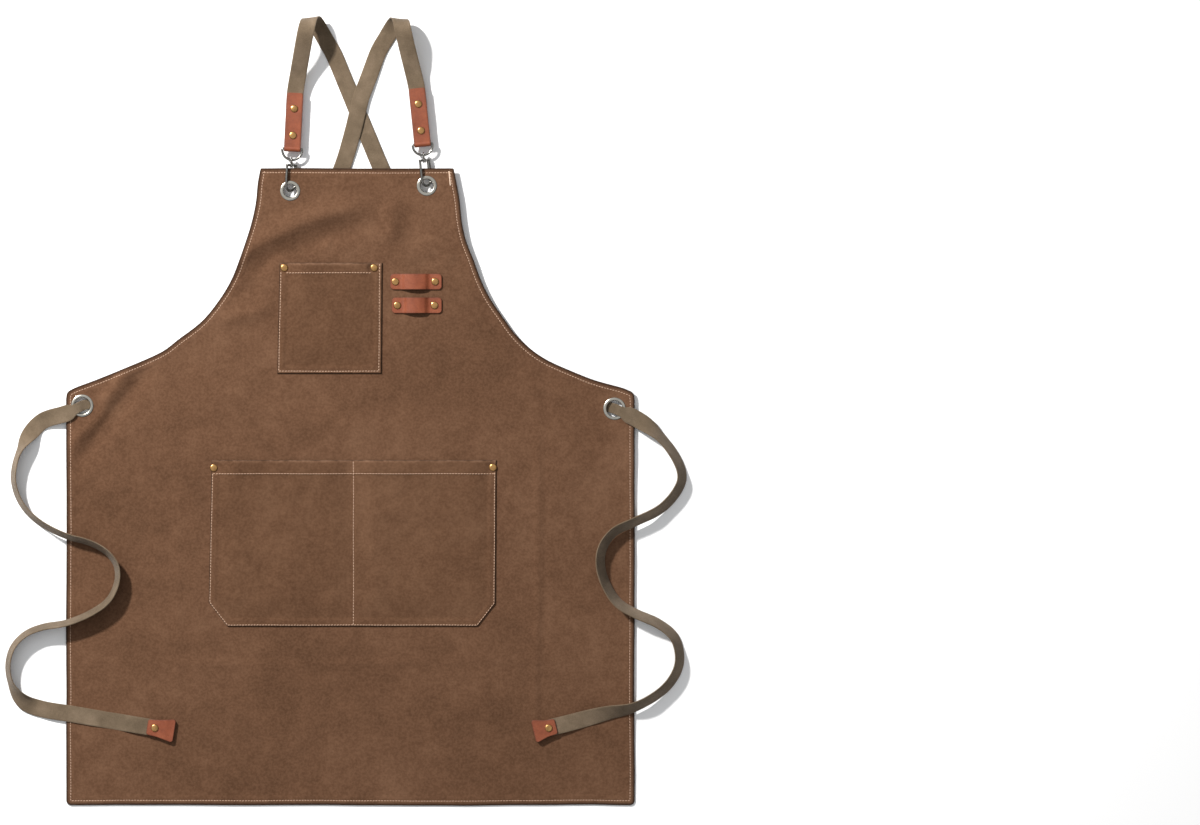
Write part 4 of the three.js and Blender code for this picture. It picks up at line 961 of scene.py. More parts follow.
def webbing_material(name, dark, mid, light):
    m = Mat(name, rough=0.85, spec=0.25, sheen=0.1)
    uv = m.coord.outputs["UV"]
    sep = m.n("ShaderNodeSeparateXYZ")
    m.link(uv, sep.inputs[0])
    # herringbone: ribs every 1.3 mm along, turning at every fifth of the width (uv is in cm)
    u, v = sep.outputs["X"], sep.outputs["Y"]
    zig = m.math("PINGPONG", m.math("ADD", u, 1.0), 0.2)
    diag = m.math("ADD", v, zig)
    rib = m.math("SINE", m.math("MULTIPLY", diag, 2 * math.pi / 0.125))
    yarn = m.math("SINE", m.math("MULTIPLY", u, 2 * math.pi / 0.07))
    h = m.math("ADD", m.math("MULTIPLY", rib, 0.6), m.math("MULTIPLY", yarn, 0.25))
    cloud = m.noise(34, 4, 0.6)
    fuzz = m.noise(900, 2, 0.6)
    t = m.math("ADD", m.math("MULTIPLY", cloud, 0.7), m.math("MULTIPLY", fuzz, 0.3))
    col = m.ramp(t, [(0.36, dark), (0.5, mid), (0.66, light)])
    # painted shade: the grooves between the ribs are darkened
    col = m.mix(m.math("MULTIPLY", m.math("MULTIPLY_ADD", rib, -0.5, 0.5), 0.3), col, m.mix(0.45, dark, (0.02, 0.014, 0.01, 1)))
    col = m.mix(m.math("MULTIPLY", attribute(m, "edge"), 0.3), col, dark)
    normal = m.bump(h, 0.55, 0.0003)
    normal = m.bump(fuzz, 0.25, 0.0003, normal)
    return m.done(col, normal)


def leather_material(name):
    m = Mat(name, rough=0.52, spec=0.32)
    cloud = m.noise(48, 5, 0.62, distortion=0.3)
    fine = m.noise(420, 3, 0.6)
    t = m.math("ADD", m.math("MULTIPLY", cloud, 0.75), m.math("MULTIPLY", fine, 0.25))
    col = m.ramp(t, [(0.3, lin(104, 50, 28)), (0.5, lin(126, 64, 38)), (0.7, lin(143, 78, 49))])
    vor = m.n("ShaderNodeTexVoronoi", Scale=1150.0)
    m.link(m.coord.outputs["Object"], vor.inputs["Vector"])
    vor.feature = "DISTANCE_TO_EDGE"
    pores = m.ramp(vor.outputs["Distance"], [(0.0, (0, 0, 0)), (0.09, (1, 1, 1))])
    col = m.mix(m.math("MULTIPLY", m.math("SUBTRACT", 1.0, pores), 0.14), col, lin(92, 44, 28))
    col = m.mix(m.math("MULTIPLY", attribute(m, "edge"), 0.75), col, lin(88, 46, 32))
    normal = m.bump(pores, 0.3, 0.00025)
    normal = m.bump(m.noise(90, 4, 0.6), 0.25, 0.0008, normal)
    rough = m.math("MULTIPLY_ADD", cloud, 0.3, 0.38)
    return m.done(col, normal, rough)


def metal_material(name, base, dark, rough, tarnish, scale=160):
    m = Mat(name, rough=rough, metal=1.0, spec=0.5)
    spots = m.ramp(m.noise(scale, 4, 0.65), [(0.42, (0, 0, 0)), (0.68, (1, 1, 1))])
    col = m.mix(m.math("MULTIPLY", spots, tarnish), base, dark)
    scratch = m.n("ShaderNodeMapping")
    m.link(m.coord.outputs["Object"], scratch.inputs["Vector"])
    scratch.inputs["Scale"].default_value = (240, 2600, 900)
    streak = m.noise(1.0, 2, 0.5, scratch.outputs["Vector"])
    normal = m.bump(streak, 0.12, 0.00008)
    r = m.math("ADD", m.math("MULTIPLY", spots, 0.16), m.math("MULTIPLY_ADD", streak, 0.08, rough - 0.04))
    return m.done(col, normal, r)


def thread_material(name, color, light):
    m = Mat(name, rough=0.7, spec=0.3, sheen=0.1)
    col = m.mix(m.noise(240, 3, 0.6), color, light)
    ply = m.n("ShaderNodeTexWave", Scale=420.0, Distortion=1.5)
    ply.bands_direction = "DIAGONAL"
    m.link(m.coord.outputs["Object"], ply.inputs["Vector"])
    return m.done(col, m.bump(ply.outputs["Fac"], 0.35, 0.0002))


CANVAS = canvas_material("canvas", lin(78, 53, 36), lin(98, 69, 50), lin(118, 87, 66))
POCKET = canvas_material("pocket_canvas", lin(76, 51, 34), lin(95, 67, 48), lin(114, 84, 63))
WEBBING = webbing_material("webbing", lin(92, 77, 59), lin(108, 92, 73), lin(128, 110, 90))
LEATHER = leather_material("tan_leather")
BRASS = metal_material("antique_brass", lin(192, 148, 94), lin(92, 60, 32), 0.24, 0.5)
NICKEL = metal_material("nickel_plate", lin(138, 136, 131), lin(78, 76, 72), 0.17, 0.4)
BRIGHT = metal_material("bright_nickel", lin(182, 178, 168), lin(96, 92, 84), 0.2, 0.35)
STEEL = metal_material("spring_steel", lin(190, 190, 190), lin(110, 108, 104), 0.3, 0.3)
THREAD = thread_material("thread", lin(176, 142, 118), lin(198, 166, 142))
THREAD_LIGHT = thread_material("thread_light", lin(206, 176, 150), lin(226, 202, 180))

# ------------------------------------------------------------------ canvas body
made = []


def keep(o, body="apron", slot=None, replaces=()):
    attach(o, body)
    if replaces:
        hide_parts(*replaces)
    made.append(o)
    return o


ys = steps_between(BOTTOM_Y, TOP_Y, 3.4, EDGE_STEPS)
ys = np.unique(np.round(np.concatenate([ys, np.arange(8, 66, 1.3)]), 3))
ys = ys[np.concatenate([[True], np.diff(ys) > 0.24])]
ys[-1] = TOP_Y
XL, XR = edge_at(ys, EDGE_LEFT), edge_at(ys, EDGE_RIGHT)
GX = []
for y, xl, xr in zip(ys, XL, XR):
    kl = math.hypot(1, (edge_at(y + 2, EDGE_LEFT) - edge_at(y - 2, EDGE_LEFT)) / 4) if y < 286 else 1
    kr = math.hypot(1, (edge_at(y + 2, EDGE_RIGHT) - edge_at(y - 2, EDGE_RIGHT)) / 4) if y < 286 else 1
    kl, kr = min(kl, 3.2), min(kr, 3.2)
    left = xl + np.array(EDGE_STEPS) * kl
    right = xr - np.array(EDGE_STEPS[::-1]) * kr
    GX.append(np.concatenate([left, np.linspace(left[-1], right[0], 172)[1:-1], right]))
GX = np.array(GX)
GY = np.repeat(ys[:, None], GX.shape[1], 1)
GY = GY + foot_wave(GX) * smooth((BOTTOM_Y + 60 - GY) / 60) + brow_wave(GX) * smooth((GY - TOP_Y + 40) / 40)
DIST = {}


def with_dist(fn):
    def f(x, y):
        key = (x.shape, float(x.ravel()[7]), float(x.sum()))
        if key not in DIST:
            DIST[key] = seg_dist(x, y, OUTLINE)
        return fn(x, y, DIST[key])
    return f


# the edge attribute carries painted shade: darkest at the rolled outer edge, with a fainter dark line in the hem's
# stitch groove
body = sheet_mesh("canvas_apron", GX, GY, with_dist(body_top), with_dist(body_bottom), CANVAS,
    holes=[(*BIB[s], 8.9) for s in BIB] + [(*WAIST[s], 10.9) for s in WAIST],
    attrs={"edge": with_dist(lambda x, y, d: np.exp(-(d / 3.0) ** 2) + 0.3 * np.exp(-((d - 5.5) / 0.8) ** 2)),
           "rub": with_dist(lambda x, y, d: np.exp(-((d - 4.9) / 1.3) ** 2) * 0.5)})
keep(body, slot="canvas", replaces=["canvas_body"])


def inset(poly, d):
    """Closed outline moved inwards by d, with its sharp corners kept sharp."""
    p = np.array(poly, float)
    area = (p[:, 0] * np.roll(p[:, 1], -1) - p[:, 1] * np.roll(p[:, 0], -1)).sum()
    if area < 0:
        p = p[::-1]
    e = np.roll(p, -1, 0) - p
    e /= np.linalg.norm(e, axis=1)[:, None]
    nrm = np.stack([-e[:, 1], e[:, 0]], 1)
    out = []
    for i in range(len(p)):
        n0, n1 = nrm[i - 1], nrm[i]
        k = (n0 + n1)
        k = k / max(0.35, (k @ k) / 2)
        out.append(p[i] + k * d)
    return out


def densify(path, step=2.0, closed=False):
    pts = list(path) + ([path[0]] if closed else [])
    out = [np.array(pts[0], float)]
    for a, b in zip(pts, pts[1:]):
        a, b = np.array(a, float), np.array(b, float)
        n = max(1, int(np.linalg.norm(b - a) / step))
        out += [a + (b - a) * i / n for i in range(1, n + 1)]
    return out


hem_path = densify(inset(OUTLINE, 5.5), closed=True)
front_thread = stitches("hem_stitches_front", [hem_path], body_top, THREAD)
keep(front_thread, slot="canvas")
runs, run = [], []
for q in hem_path:
    if float(hook_room(np.array([q[0]]), np.array([q[1]]))[0]) < 0.4:
        runs, run = runs + [run], []
    else:
        run.append(q)
back_thread = stitches("hem_stitches_back", [r for r in runs + [run] if len(r) > 3], body_bottom, THREAD, sign=-1)
keep(back_thread, slot="canvas")

# ------------------------------------------------------------------ pockets
def rows_between(edge_l, edge_r, y0, y1, pitch, offs, cols):
    """Grid of a patch between two side lines given as (y, x) tables."""
    ys = steps_between(y0, y1, pitch, offs)
    xl, xr = edge_at(ys, edge_l), edge_at(ys, edge_r)
    rows = []
    for y, a, b in zip(ys, xl, xr):
        o = np.array(offs)
        rows.append(np.concatenate([a + o, np.linspace(a + o[-1], b - o[-1], cols)[1:-1], b - o[::-1]]))
    gx = np.array(rows)
    return gx, np.repeat(ys[:, None], gx.shape[1], 1)


POCKET_STEPS = [0, 0.18, 0.5, 0.95, 1.4, 1.9, 2.4, 2.9, 3.4, 4.0, 4.8, 6.0, 7.6, 9.5]


def side(x, y, table, sign):
    return sign * (x - edge_at(y, table))


class Pocket:
    def __init__(self, left, right, foot, mouth, rivets, hem, inset, seams, swell, seed):
        self.left, self.right, self.foot, self.mouth = left, right, foot, mouth
        self.rivets, self.hem, self.inset, self.seams, self.swell, self.seed = rivets, hem, inset, seams, swell, seed

    def gaps(self, x, y):
        return side(x, y, self.left, 1), side(x, y, self.right, -1), y - self.foot, self.mouth - y

    def rise(self, x, y):
        """Height of the pocket's face over the cloth behind it, its own thickness left out."""
        l, r, f, m = self.gaps(x, y)
        puff = smooth((l - 2.5) / 30) * smooth((r - 2.5) / 30) * smooth((f - 2.5) / 34)
        for s in self.seams:
            puff = puff * smooth((np.abs(x - s) - 1.2) / 26)
        gape = 0.62 + 0.38 * smooth((y - self.mouth + 60) / 55)
        wave = 1 + 0.38 * noise(x, y, 52, self.seed) + 0.16 * noise(x, y, 21, self.seed + 1)
        z = self.swell * puff * gape * wave
        z = z + 0.55 * smooth((26 - m) / 26) * smooth((np.minimum(l, r) - 6) / 14) * (1 + noise(x, 0 * x, 30, self.seed + 6))
        z = z + 0.16 * noise(x, y, 17, self.seed + 2) * smooth(np.minimum(np.minimum(l, r), f) / 8)
        # pucker along the seams
        near = np.exp(-((np.minimum(np.minimum(l, r), f) - 5.5) / 4.0) ** 2)
        z = z + 0.11 * near * np.sin((x + y) / 1.5 + 2 * noise(x, y, 30, self.seed + 3))
        hemline = np.exp(-((m - self.hem - 3.5) / 3.5) ** 2) * smooth(np.minimum(l, r) / 8)
        return np.maximum(z + 0.1 * hemline * np.sin(x / 1.6 + 2 * noise(x, y, 25, self.seed + 4)), 0)

    def pressed(self, x, y):
        k = np.ones(np.shape(x))
        for rx, ry in self.rivets:
            k = k * smooth((np.hypot(x - rx, y - ry) - 4.4) / 4.5)
        return k

    def top(self, x, y):
        l, r, f, m = self.gaps(x, y)
        k = self.pressed(x, y)
        d = np.minimum(np.minimum(l, r), f)
        double = np.maximum(smooth((9.5 - d) / 1.2), smooth((self.hem + 1.6 - m) / 1.2))
        thick = CLOTH + 0.75 * double
        z = body_top(x, y) + 0.22 + self.rise(x, y) * k + CLOTH + (thick - CLOTH) * k
        l2, r2, f2 = l - self.inset[0], r - self.inset[1], f - self.inset[2]
        seam = np.exp(-((np.minimum(np.minimum(np.abs(l2), np.abs(r2)), np.abs(f2))) / 0.7) ** 2)
        seam = np.where((l2 < -0.8) | (r2 < -0.8) | (f2 < -0.8), 0, seam)
        seam = np.maximum(seam, np.exp(-((m - self.hem) / 0.7) ** 2))
        for s in self.seams:
            seam = np.maximum(seam, np.exp(-((x - s) / 0.8) ** 2))
        z = z - 0.32 * seam * k
        e = np.minimum(d, m)
        return z - 1.35 * k * (1 - np.sqrt(np.clip(1 - (1 - np.clip(e / 1.35, 0, 1)) ** 2, 0, 1))) - 0.35 * (1 - k) * np.exp(-(e / 0.5) ** 2)

    def bottom(self, x, y):
        k = self.pressed(x, y)
        l, r, f, m = self.gaps(x, y)
        base = body_top(x, y) + 0.12
        d = np.minimum(np.minimum(l, r), f)
        lift = self.rise(x, y) * k * smooth((d - 3) / 4)
        lift = lift * np.where(m < self.hem, 1 - 0.0 * m, 1)
        z = base + lift + 0.15 * smooth(m / 4) * 0
        return z + 0.3 * (1 - np.sqrt(np.clip(1 - (1 - np.clip(np.minimum(d, m) / 0.9, 0, 1)) ** 2, 0, 1)))

    # painted shade along the pocket's rolled edges, darkest at the very edge
    def painted_edge_shade(self, x, y):
        l, r, f, m = self.gaps(x, y)
        e = np.minimum(np.minimum(np.minimum(l, r), f), m)
        return np.exp(-(e / 1.1) ** 2)

    def rub(self, x, y):
        l, r, f, m = self.gaps(x, y)
        corners = np.exp(-((m - 1.2) / 1.6) ** 2) + 0.5 * np.exp(-((np.minimum(np.minimum(l, r), f) - 1.8) / 1.0) ** 2)
        return np.clip(corners, 0, 1)


CHEST_L, CHEST_R = [(45, -87.6), (177.6, -84.6)], [(44.6, 37.4), (177.6, 38.4)]
HAND_L = [(-258.3, -147), (-257.2, -148.4), (-230.6, -169), (-229.2, -169.8), (-226, -169.75), (-58.8, -166.2)]
HAND_R = [(-258.3, 151.8), (-257.2, 153.2), (-231.6, 173.2), (-230.4, 174), (-227, 174.05), (-58.8, 175)]
chest = Pocket(CHEST_L, CHEST_R, 44.9, 177.6, CHEST_RIVETS, 12.0, (1.9, 3.0, 2.8), [], 2.6, 11)
hand = Pocket(HAND_L, HAND_R, -258.3, -58.8, HAND_RIVETS, 16.4, (1.5, 1.7, 1.6), [HAND_SEAM_X], 3.2, 21)

gx, gy = rows_between(CHEST_L, CHEST_R, 44.9, 177.6, 1.7, POCKET_STEPS, 68)
chest_piece = sheet_mesh("chest_pocket_patch", gx, gy, chest.top, chest.bottom, POCKET, attrs={"edge": chest.painted_edge_shade, "rub": chest.rub})
keep(chest_piece, slot="canvas", replaces=["chest_pocket"])
gx, gy = rows_between(HAND_L, HAND_R, -258.3, -58.8, 2.0, POCKET_STEPS, 164)
near = np.abs(gx - HAND_SEAM_X) < 7
gx = np.where(near, gx + (HAND_SEAM_X - gx) * 0.35 * (1 - np.abs(gx - HAND_SEAM_X) / 7), gx)
hand_piece = sheet_mesh("hand_pocket_patch", gx, gy, hand.top, hand.bottom, POCKET, attrs={"edge": hand.painted_edge_shade, "rub": hand.rub})
keep(hand_piece, slot="canvas", replaces=["hand_pocket"])


def line(p, q, step=2.0):
    return densify([p, q], step)


def pocket_paths(pk, rivet_gap=6.2):
    l, r, f = pk.inset
    ys = np.linspace(pk.foot + f, pk.mouth - 1.2, 160)
    left = [(edge_at(y, pk.left) + l, y) for y in ys]
    right = [(edge_at(y, pk.right) - r, y) for y in ys]
    paths = [left[::-1], line(left[0], right[0]), right]
    hem_y = pk.mouth - pk.hem
    paths.append(line((edge_at(hem_y, pk.left) + l, hem_y), (edge_at(hem_y, pk.right) - r, hem_y)))
    for s in pk.seams:
        paths.append(line((s, pk.mouth - 1.5), (s, pk.foot + f)))
    out = []
    for p in paths:
        run = []
        for q in p:
            if min(math.hypot(q[0] - x, q[1] - y) for x, y in pk.rivets) < rivet_gap:
                if len(run) > 3:
                    out.append(run)
                run = []
            else:
                run.append(q)
        if len(run) > 3:
            out.append(run)
    return out


for nm, pk in (("chest_pocket", chest), ("hand_pocket", hand)):
    paths = pocket_paths(pk)
    keep(stitches(nm + "_stitches", paths, pk.top, THREAD, radius=0.48), slot="canvas")
    through = [p for p in paths if not (abs(p[0][1] - p[-1][1]) < 0.1 and abs(p[0][1] - (pk.mouth - pk.hem)) < 1)]
    keep(stitches(nm + "_stitches_back", through, body_bottom, THREAD, sign=-1), slot="canvas")

tack = [(118.1, 287.2), (118.9, 279), (119.7, 270.6)]
keep(stitches("bar_tack", [tack, [(a + 0.75, b) for a, b in tack]], body_top, THREAD_LIGHT, pitch=1.25, length=2.2, radius=0.42), slot="canvas")

# ------------------------------------------------------------------ metal on the cloth
def on_cloth(o):
    me = o.data
    co = np.zeros(len(me.vertices) * 3)
    me.vertices.foreach_get("co", co)
    co = co.reshape(-1, 3)
    co[:, 2] += lie(co[:, 1] / MM) * MM
    me.vertices.foreach_set("co", co.ravel())
    me.update()
    return o


def rivet_profile(z0, z1):
    b, t = z0 - 0.15, z1 + 0.15
    return [(0, b - 0.92), (1.2, b - 0.92), (1.5, b - 0.80), (1.9, b - 0.80), (2.3, b - 0.90), (3.2, b - 0.88), (3.7, b - 0.74), (3.98, b - 0.45),
        (4.0, b - 0.2), (3.86, b), (1.4, b), (1.4, t), (4.25, t), (4.46, t + 0.12), (4.5, t + 0.32), (4.42, t + 0.58), (4.15, t + 0.86), (3.6, t + 1.1),
        (2.8, t + 1.3), (1.9, t + 1.42), (0.95, t + 1.49), (0, t + 1.5)]


rivets = []
for nm, pts in (("chest_pocket_rivet", CHEST_RIVETS), ("hand_pocket_rivet", HAND_RIVETS)):
    for tag, (x, y) in zip("lr", pts):
        rivets.append((f"{nm}_{tag}", x, y, 2.7))
for nm, (x0, x1, y, xs) in LOOPS.items():
    for tag, x in zip("lr", xs):
        rivets.append((f"{nm}_rivet_{tag}", x, y, 3.3))
for nm, x, y, z1 in rivets:
    o = on_cloth(lathe(nm + "_cap", rivet_profile(0, z1), BRASS, at=(x, y, 0), n=36))
    keep(o, slot="brass", replaces=[nm])

for s in ("left", "right"):
    for nm, (x, y), ri, ro, rb in (("bib", BIB[s], 7.8, 12.0, 8.3), ("waist", WAIST[s], 9.6, 13.4, 10.1)):
        m = (ri + ro) / 2
        prof = [(ri, -0.9), (ri + 0.25, -1.09), (rb - 0.05, -1.02), (rb, -0.8), (rb, 1.35), (ro - 0.3, 1.35), (ro, 1.46), (ro - 0.04, 1.68),
            (ro - 0.35, 1.9), (ro - 0.9, 2.08), (m + 0.6, 2.2), (m, 2.25), (m - 0.7, 2.22), (ri + 0.75, 2.08), (ri + 0.3, 1.85), (ri + 0.06, 1.5), (ri, 1.1)]
        keep(on_cloth(lathe(f"{s}_{nm}_eyelet_ring", prof[::-1], BRIGHT, at=(x, y, 0), n=72, closed=True)), slot="nickel", replaces=[f"{s}_{nm}_eyelet"])
        w0 = rb + 0.32
        prof = [(w0, -0.72), (w0 + 0.12, -0.75), (ro - 0.5, -0.75), (ro - 0.1, -0.66), (ro, -0.45), (ro - 0.1, -0.24), (ro - 0.5, -0.15), (w0 + 0.12, -0.15), (w0, -0.18)]
        keep(on_cloth(lathe(f"{s}_{nm}_washer_ring", prof[::-1], NICKEL, at=(x, y, 0), n=72, closed=True)), slot="nickel", replaces=[f"{s}_{nm}_washer"])


# ------------------------------------------------------------------ leather
def leather_strip(name, half_len, half_w, corner, top, bottom, pitch=1.1, matrix=None, taper=None):
    """Flat strip with rounded corners, x along; top(x, y) and bottom(x, y) are its two faces."""
    offs = [0, 0.12, 0.35, 0.7, 1.1, 1.7, 2.4, 3.2, 4.2]
    xs = steps_between(half_len[0], half_len[1], pitch, offs)
    rows = []
    for x in xs:
        dx = min(x - half_len[0], half_len[1] - x)
        w = taper(x) if taper else half_w
        if dx < corner:
            w = w - corner + math.sqrt(max(corner ** 2 - (corner - dx) ** 2, 0.0))
        o = np.array([0, 0.12, 0.35, 0.7, 1.1, 1.7]) * min(1, w / 6)
        rows.append(np.concatenate([-w + o, np.linspace(-w + o[-1], w - o[-1], 15)[1:-1], w - o[::-1]]))
    Yg = np.array(rows).T
    Xg = np.repeat(xs[None, :], Yg.shape[0], 0)
    outline = []
    for x in xs:
        pass

    def edge_d(x, y):
        w = np.vectorize(taper)(x) if taper else half_w
        ax = np.minimum(x - half_len[0], half_len[1] - x)
        ay = w - np.abs(y)
        cx, cy = corner - ax, corner - ay
        return np.where((cx > 0) & (cy > 0), corner - np.hypot(np.maximum(cx, 0), np.maximum(cy, 0)), np.minimum(ax, ay))

    def rounded(x, y):
        e = np.clip(edge_d(x, y) / 0.6, 0, 1)
        return 0.55 * (1 - np.sqrt(np.clip(1 - (1 - e) ** 2, 0, 1)))

    o = sheet_mesh(name, Xg, Yg, lambda x, y: top(x, y) - rounded(x, y), lambda x, y: bottom(x, y) + rounded(x, y), LEATHER,
        attrs={"edge": lambda x, y: np.exp(-(edge_d(x, y) / 0.9) ** 2)})
    if matrix is not None:
        moved(o, matrix)
    return fix_normals(o)


for nm, (x0, x1, y0, xs) in LOOPS.items():
    a, b = xs[0] + 5.0, xs[1] - 5.0

    def arch(x, y, a=a, b=b):
        up = np.sin(np.pi * np.clip((x - a) / (b - a), 0, 1)) ** 0.85 * smooth((x - a) / 7) * smooth((b - x) / 7)
        sag = 1 - 0.10 * np.exp(-((x - (a + b) / 2) / 10) ** 2)
        return 5.25 * up * sag + 0.05 * noise(x, y, 9, 31)

    base = lambda x, y: lie(y0 + y) + drape(x, y0 + y) * 1.0
    low = lambda x, y, arch=arch, base=base: base(x, y) + 1.5 + arch(x, y)
    o = leather_strip(nm + "_strap", (x0, x1), 9.5, 4.2, lambda x, y, low=low: low(x, y) + 1.8, low, matrix=[[1, 0, 0, 0], [0, 1, 0, y0], [0, 0, 1, 0], [0, 0, 0, 1]])
    keep(o, slot="leather", replaces=[nm])


def place(turn, at, tilt=0.0):
    """Matrix of a gear frame (mm): turned about the vertical, then tilted about its own y."""
    c, s, ct, st = math.cos(turn), math.sin(turn), math.cos(tilt), math.sin(tilt)
    rz = np.array([[c, -s, 0, at[0]], [s, c, 0, at[1]], [0, 0, 1, at[2]], [0, 0, 0, 1]])
    ry = np.array([[ct, 0, st, 0], [0, 1, 0, 0], [-st, 0, ct, 0], [0, 0, 0, 1]])
    return rz @ ry


def rod_y(name, prof, mat, x=0.0, z=0.0, n=28, sharp=35):
    """Lathe about the gear's y axis at x, z; prof is (radius, y) from lowest y up."""
    o = lathe(name, prof, mat, n=n, sharp=sharp)
    me = o.data
    co = np.zeros(len(me.vertices) * 3)
    me.vertices.foreach_get("co", co)
    co = co.reshape(-1, 3) / MM
    co = np.stack([co[:, 1] + x, co[:, 2], co[:, 0] + z], 1) * MM
    me.vertices.foreach_set("co", co.ravel())
    me.update()
    return o


def slotted_tube(name, mat, x, r_out, r_in, y0, y1, slot_half, sy0, sy1):
    """Tube about y with a lengthwise slot facing +z."""
    half = math.asin(slot_half / r_out)
    ang = sorted(set(np.round(np.concatenate([np.linspace(-half, half, 5), np.linspace(half, 2 * math.pi - half, 38)]), 6)))
    ang = np.array(ang[:-1])
    ysr = np.unique(np.round(np.concatenate([np.linspace(y0, sy0, 4), np.linspace(sy0, sy1, 8), np.linspace(sy1, y1, 4)]), 5))
    A, Yn = len(ang), len(ysr)
    verts = []
    for k, yy in enumerate(ysr):
        ro = r_out - (0.18 if k in (0, Yn - 1) else 0)
        verts += [(x + ro * math.sin(a), yy, ro * math.cos(a)) for a in ang]
    for k, yy in enumerate(ysr):
        verts += [(x + r_in * math.sin(a), yy, r_in * math.cos(a)) for a in ang]
    n = A * Yn
    solid = np.ones((Yn - 1, A), bool)
    for i in range(Yn - 1):
        for j in range(A):
            am = (ang[j] + (ang[j + 1] if j + 1 < A else ang[0] + 2 * math.pi)) / 2
            ym = (ysr[i] + ysr[i + 1]) / 2
            if abs((am + math.pi) % (2 * math.pi) - math.pi) < half and sy0 < ym < sy1:
                solid[i, j] = False
    V = lambda i, j, inner: (n if inner else 0) + i * A + j % A
    faces = []
    for i in range(Yn - 1):
        for j in range(A):
            if not solid[i, j]:
                continue
            faces.append([V(i, j, 0), V(i, j + 1, 0), V(i + 1, j + 1, 0), V(i + 1, j, 0)])
            faces.append([V(i + 1, j, 1), V(i + 1, j + 1, 1), V(i, j + 1, 1), V(i, j, 1)])
            if i == 0 or not solid[i - 1, j]:
                faces.append([V(i, j, 1), V(i, j + 1, 1), V(i, j + 1, 0), V(i, j, 0)])
            if i == Yn - 2 or not solid[i + 1, j]:
                faces.append([V(i + 1, j, 0), V(i + 1, j + 1, 0), V(i + 1, j + 1, 1), V(i + 1, j, 1)])
            if not solid[i, (j - 1) % A]:
                faces.append([V(i, j, 0), V(i + 1, j, 0), V(i + 1, j, 1), V(i, j, 1)])
            if not solid[i, (j + 1) % A]:
                faces.append([V(i, j + 1, 1), V(i + 1, j + 1, 1), V(i + 1, j + 1, 0), V(i, j + 1, 0)])
    used = sorted({v for f in faces for v in f})
    m = {v: k for k, v in enumerate(used)}
    return fix_normals(new_object(name, [verts[v] for v in used], [[m[v] for v in f] for f in faces], mat, sharp=40))


# ------------------------------------------------------------------ straps and ties
def ribbon(name, route, mat, thick=1.4, step=3.2, seed=1):
    r = catmull(ROUTES[route], step)
    c, w, sc = r[:, :3], r[:, 3:6], r[:, 6]
    depth = np.ones(len(c))
    if route.endswith("strap"):
        # the webbing runs on through the eyelet into the tie
        t = (c[-1] - c[-2]) / np.linalg.norm(c[-1] - c[-2])
        c = np.vstack([c, c[-1] + 0.06 * t, c[-1] + 1.9 * t])
        w = np.vstack([w, w[-1], w[-1]])
        sc, depth = np.append(sc, [sc[-1] * 0.985] * 2), np.append(depth, [0.86, 0.86])
    return c, sweep_mesh(name, c, w, rounded_section(20, thick, 0.5, across=10, rib=0.12), mat, width=sc, depth=depth, uv_scale=0.1, sharp=55,
        attrs={"edge": lambda u, v, s: np.exp(-((10 - np.abs(u)) / 1.0) ** 2)})


CORDS = []
for s in ("left", "right"):
    c, o = ribbon(f"{s}_strap_webbing", f"{s}_strap", WEBBING)
    keep(o, slot="webbing", replaces=[f"{s}_shoulder_strap"])
    c, o = ribbon(f"{s}_tie_webbing", f"{s}_tie", WEBBING)
    keep(o, slot="webbing", replaces=[f"{s}_tie"])
    rows = np.array(ROUTES[f"{s}_tie"])
    end, before = rows[-1, :3], rows[-2, :3]
    flat = math.atan2(end[1] - before[1], end[0] - before[0])
    far = {"left": 13.0, "right": 8.0}[s]
    taper = lambda x, far=far: float(np.interp(x, [-20, -7, far - 3, far], [9.2, 10.3, 13.7, 13.2]))
    inner = lambda x, y: 1.0 - 0.96 * smooth((x - 0.5) / 1.6)
    tipm = place(flat, end)
    up = leather_strip("tmp_upper", (-20, far), 10, 2.6, lambda x, y: 2.5 - 0.42 * smooth((x - 1) / 8) + 0.05 * noise(x, y, 8, 41), inner, taper=taper, pitch=1.0)
    dn = leather_strip("tmp_lower", (-20, far), 10, 2.6, lambda x, y: -inner(x, y), lambda x, y: -(2.5 - 0.42 * smooth((x - 1) / 8)), taper=taper, pitch=1.0)
    moved(up, tipm)
    moved(dn, tipm)
    edge_vals = []
    for q in (up, dn):
        v = np.zeros(len(q.data.vertices), np.float32)
        q.data.attributes["edge"].data.foreach_get("value", v)
        edge_vals.append(v)
    tip = join(f"{s}_tie_tip_leather", [up, dn])
    tip.data.attributes.new("edge", "FLOAT", "POINT").data.foreach_set("value", np.concatenate(edge_vals))
    keep(tip, slot="leather", replaces=[f"{s}_tie_tip"])
    tiprivet = lathe(f"{s}_tie_tip_rivet_cap", rivet_profile(-2.5, 2.5), BRASS, at=(-10.7, 0, 0), n=36, matrix=tipm)
    keep(tiprivet, slot="brass", replaces=[f"{s}_tie_tip_rivet"])
    [float(v) * MM for v in c[0]]
    [[float(v) * MM for v in p] for p in c]

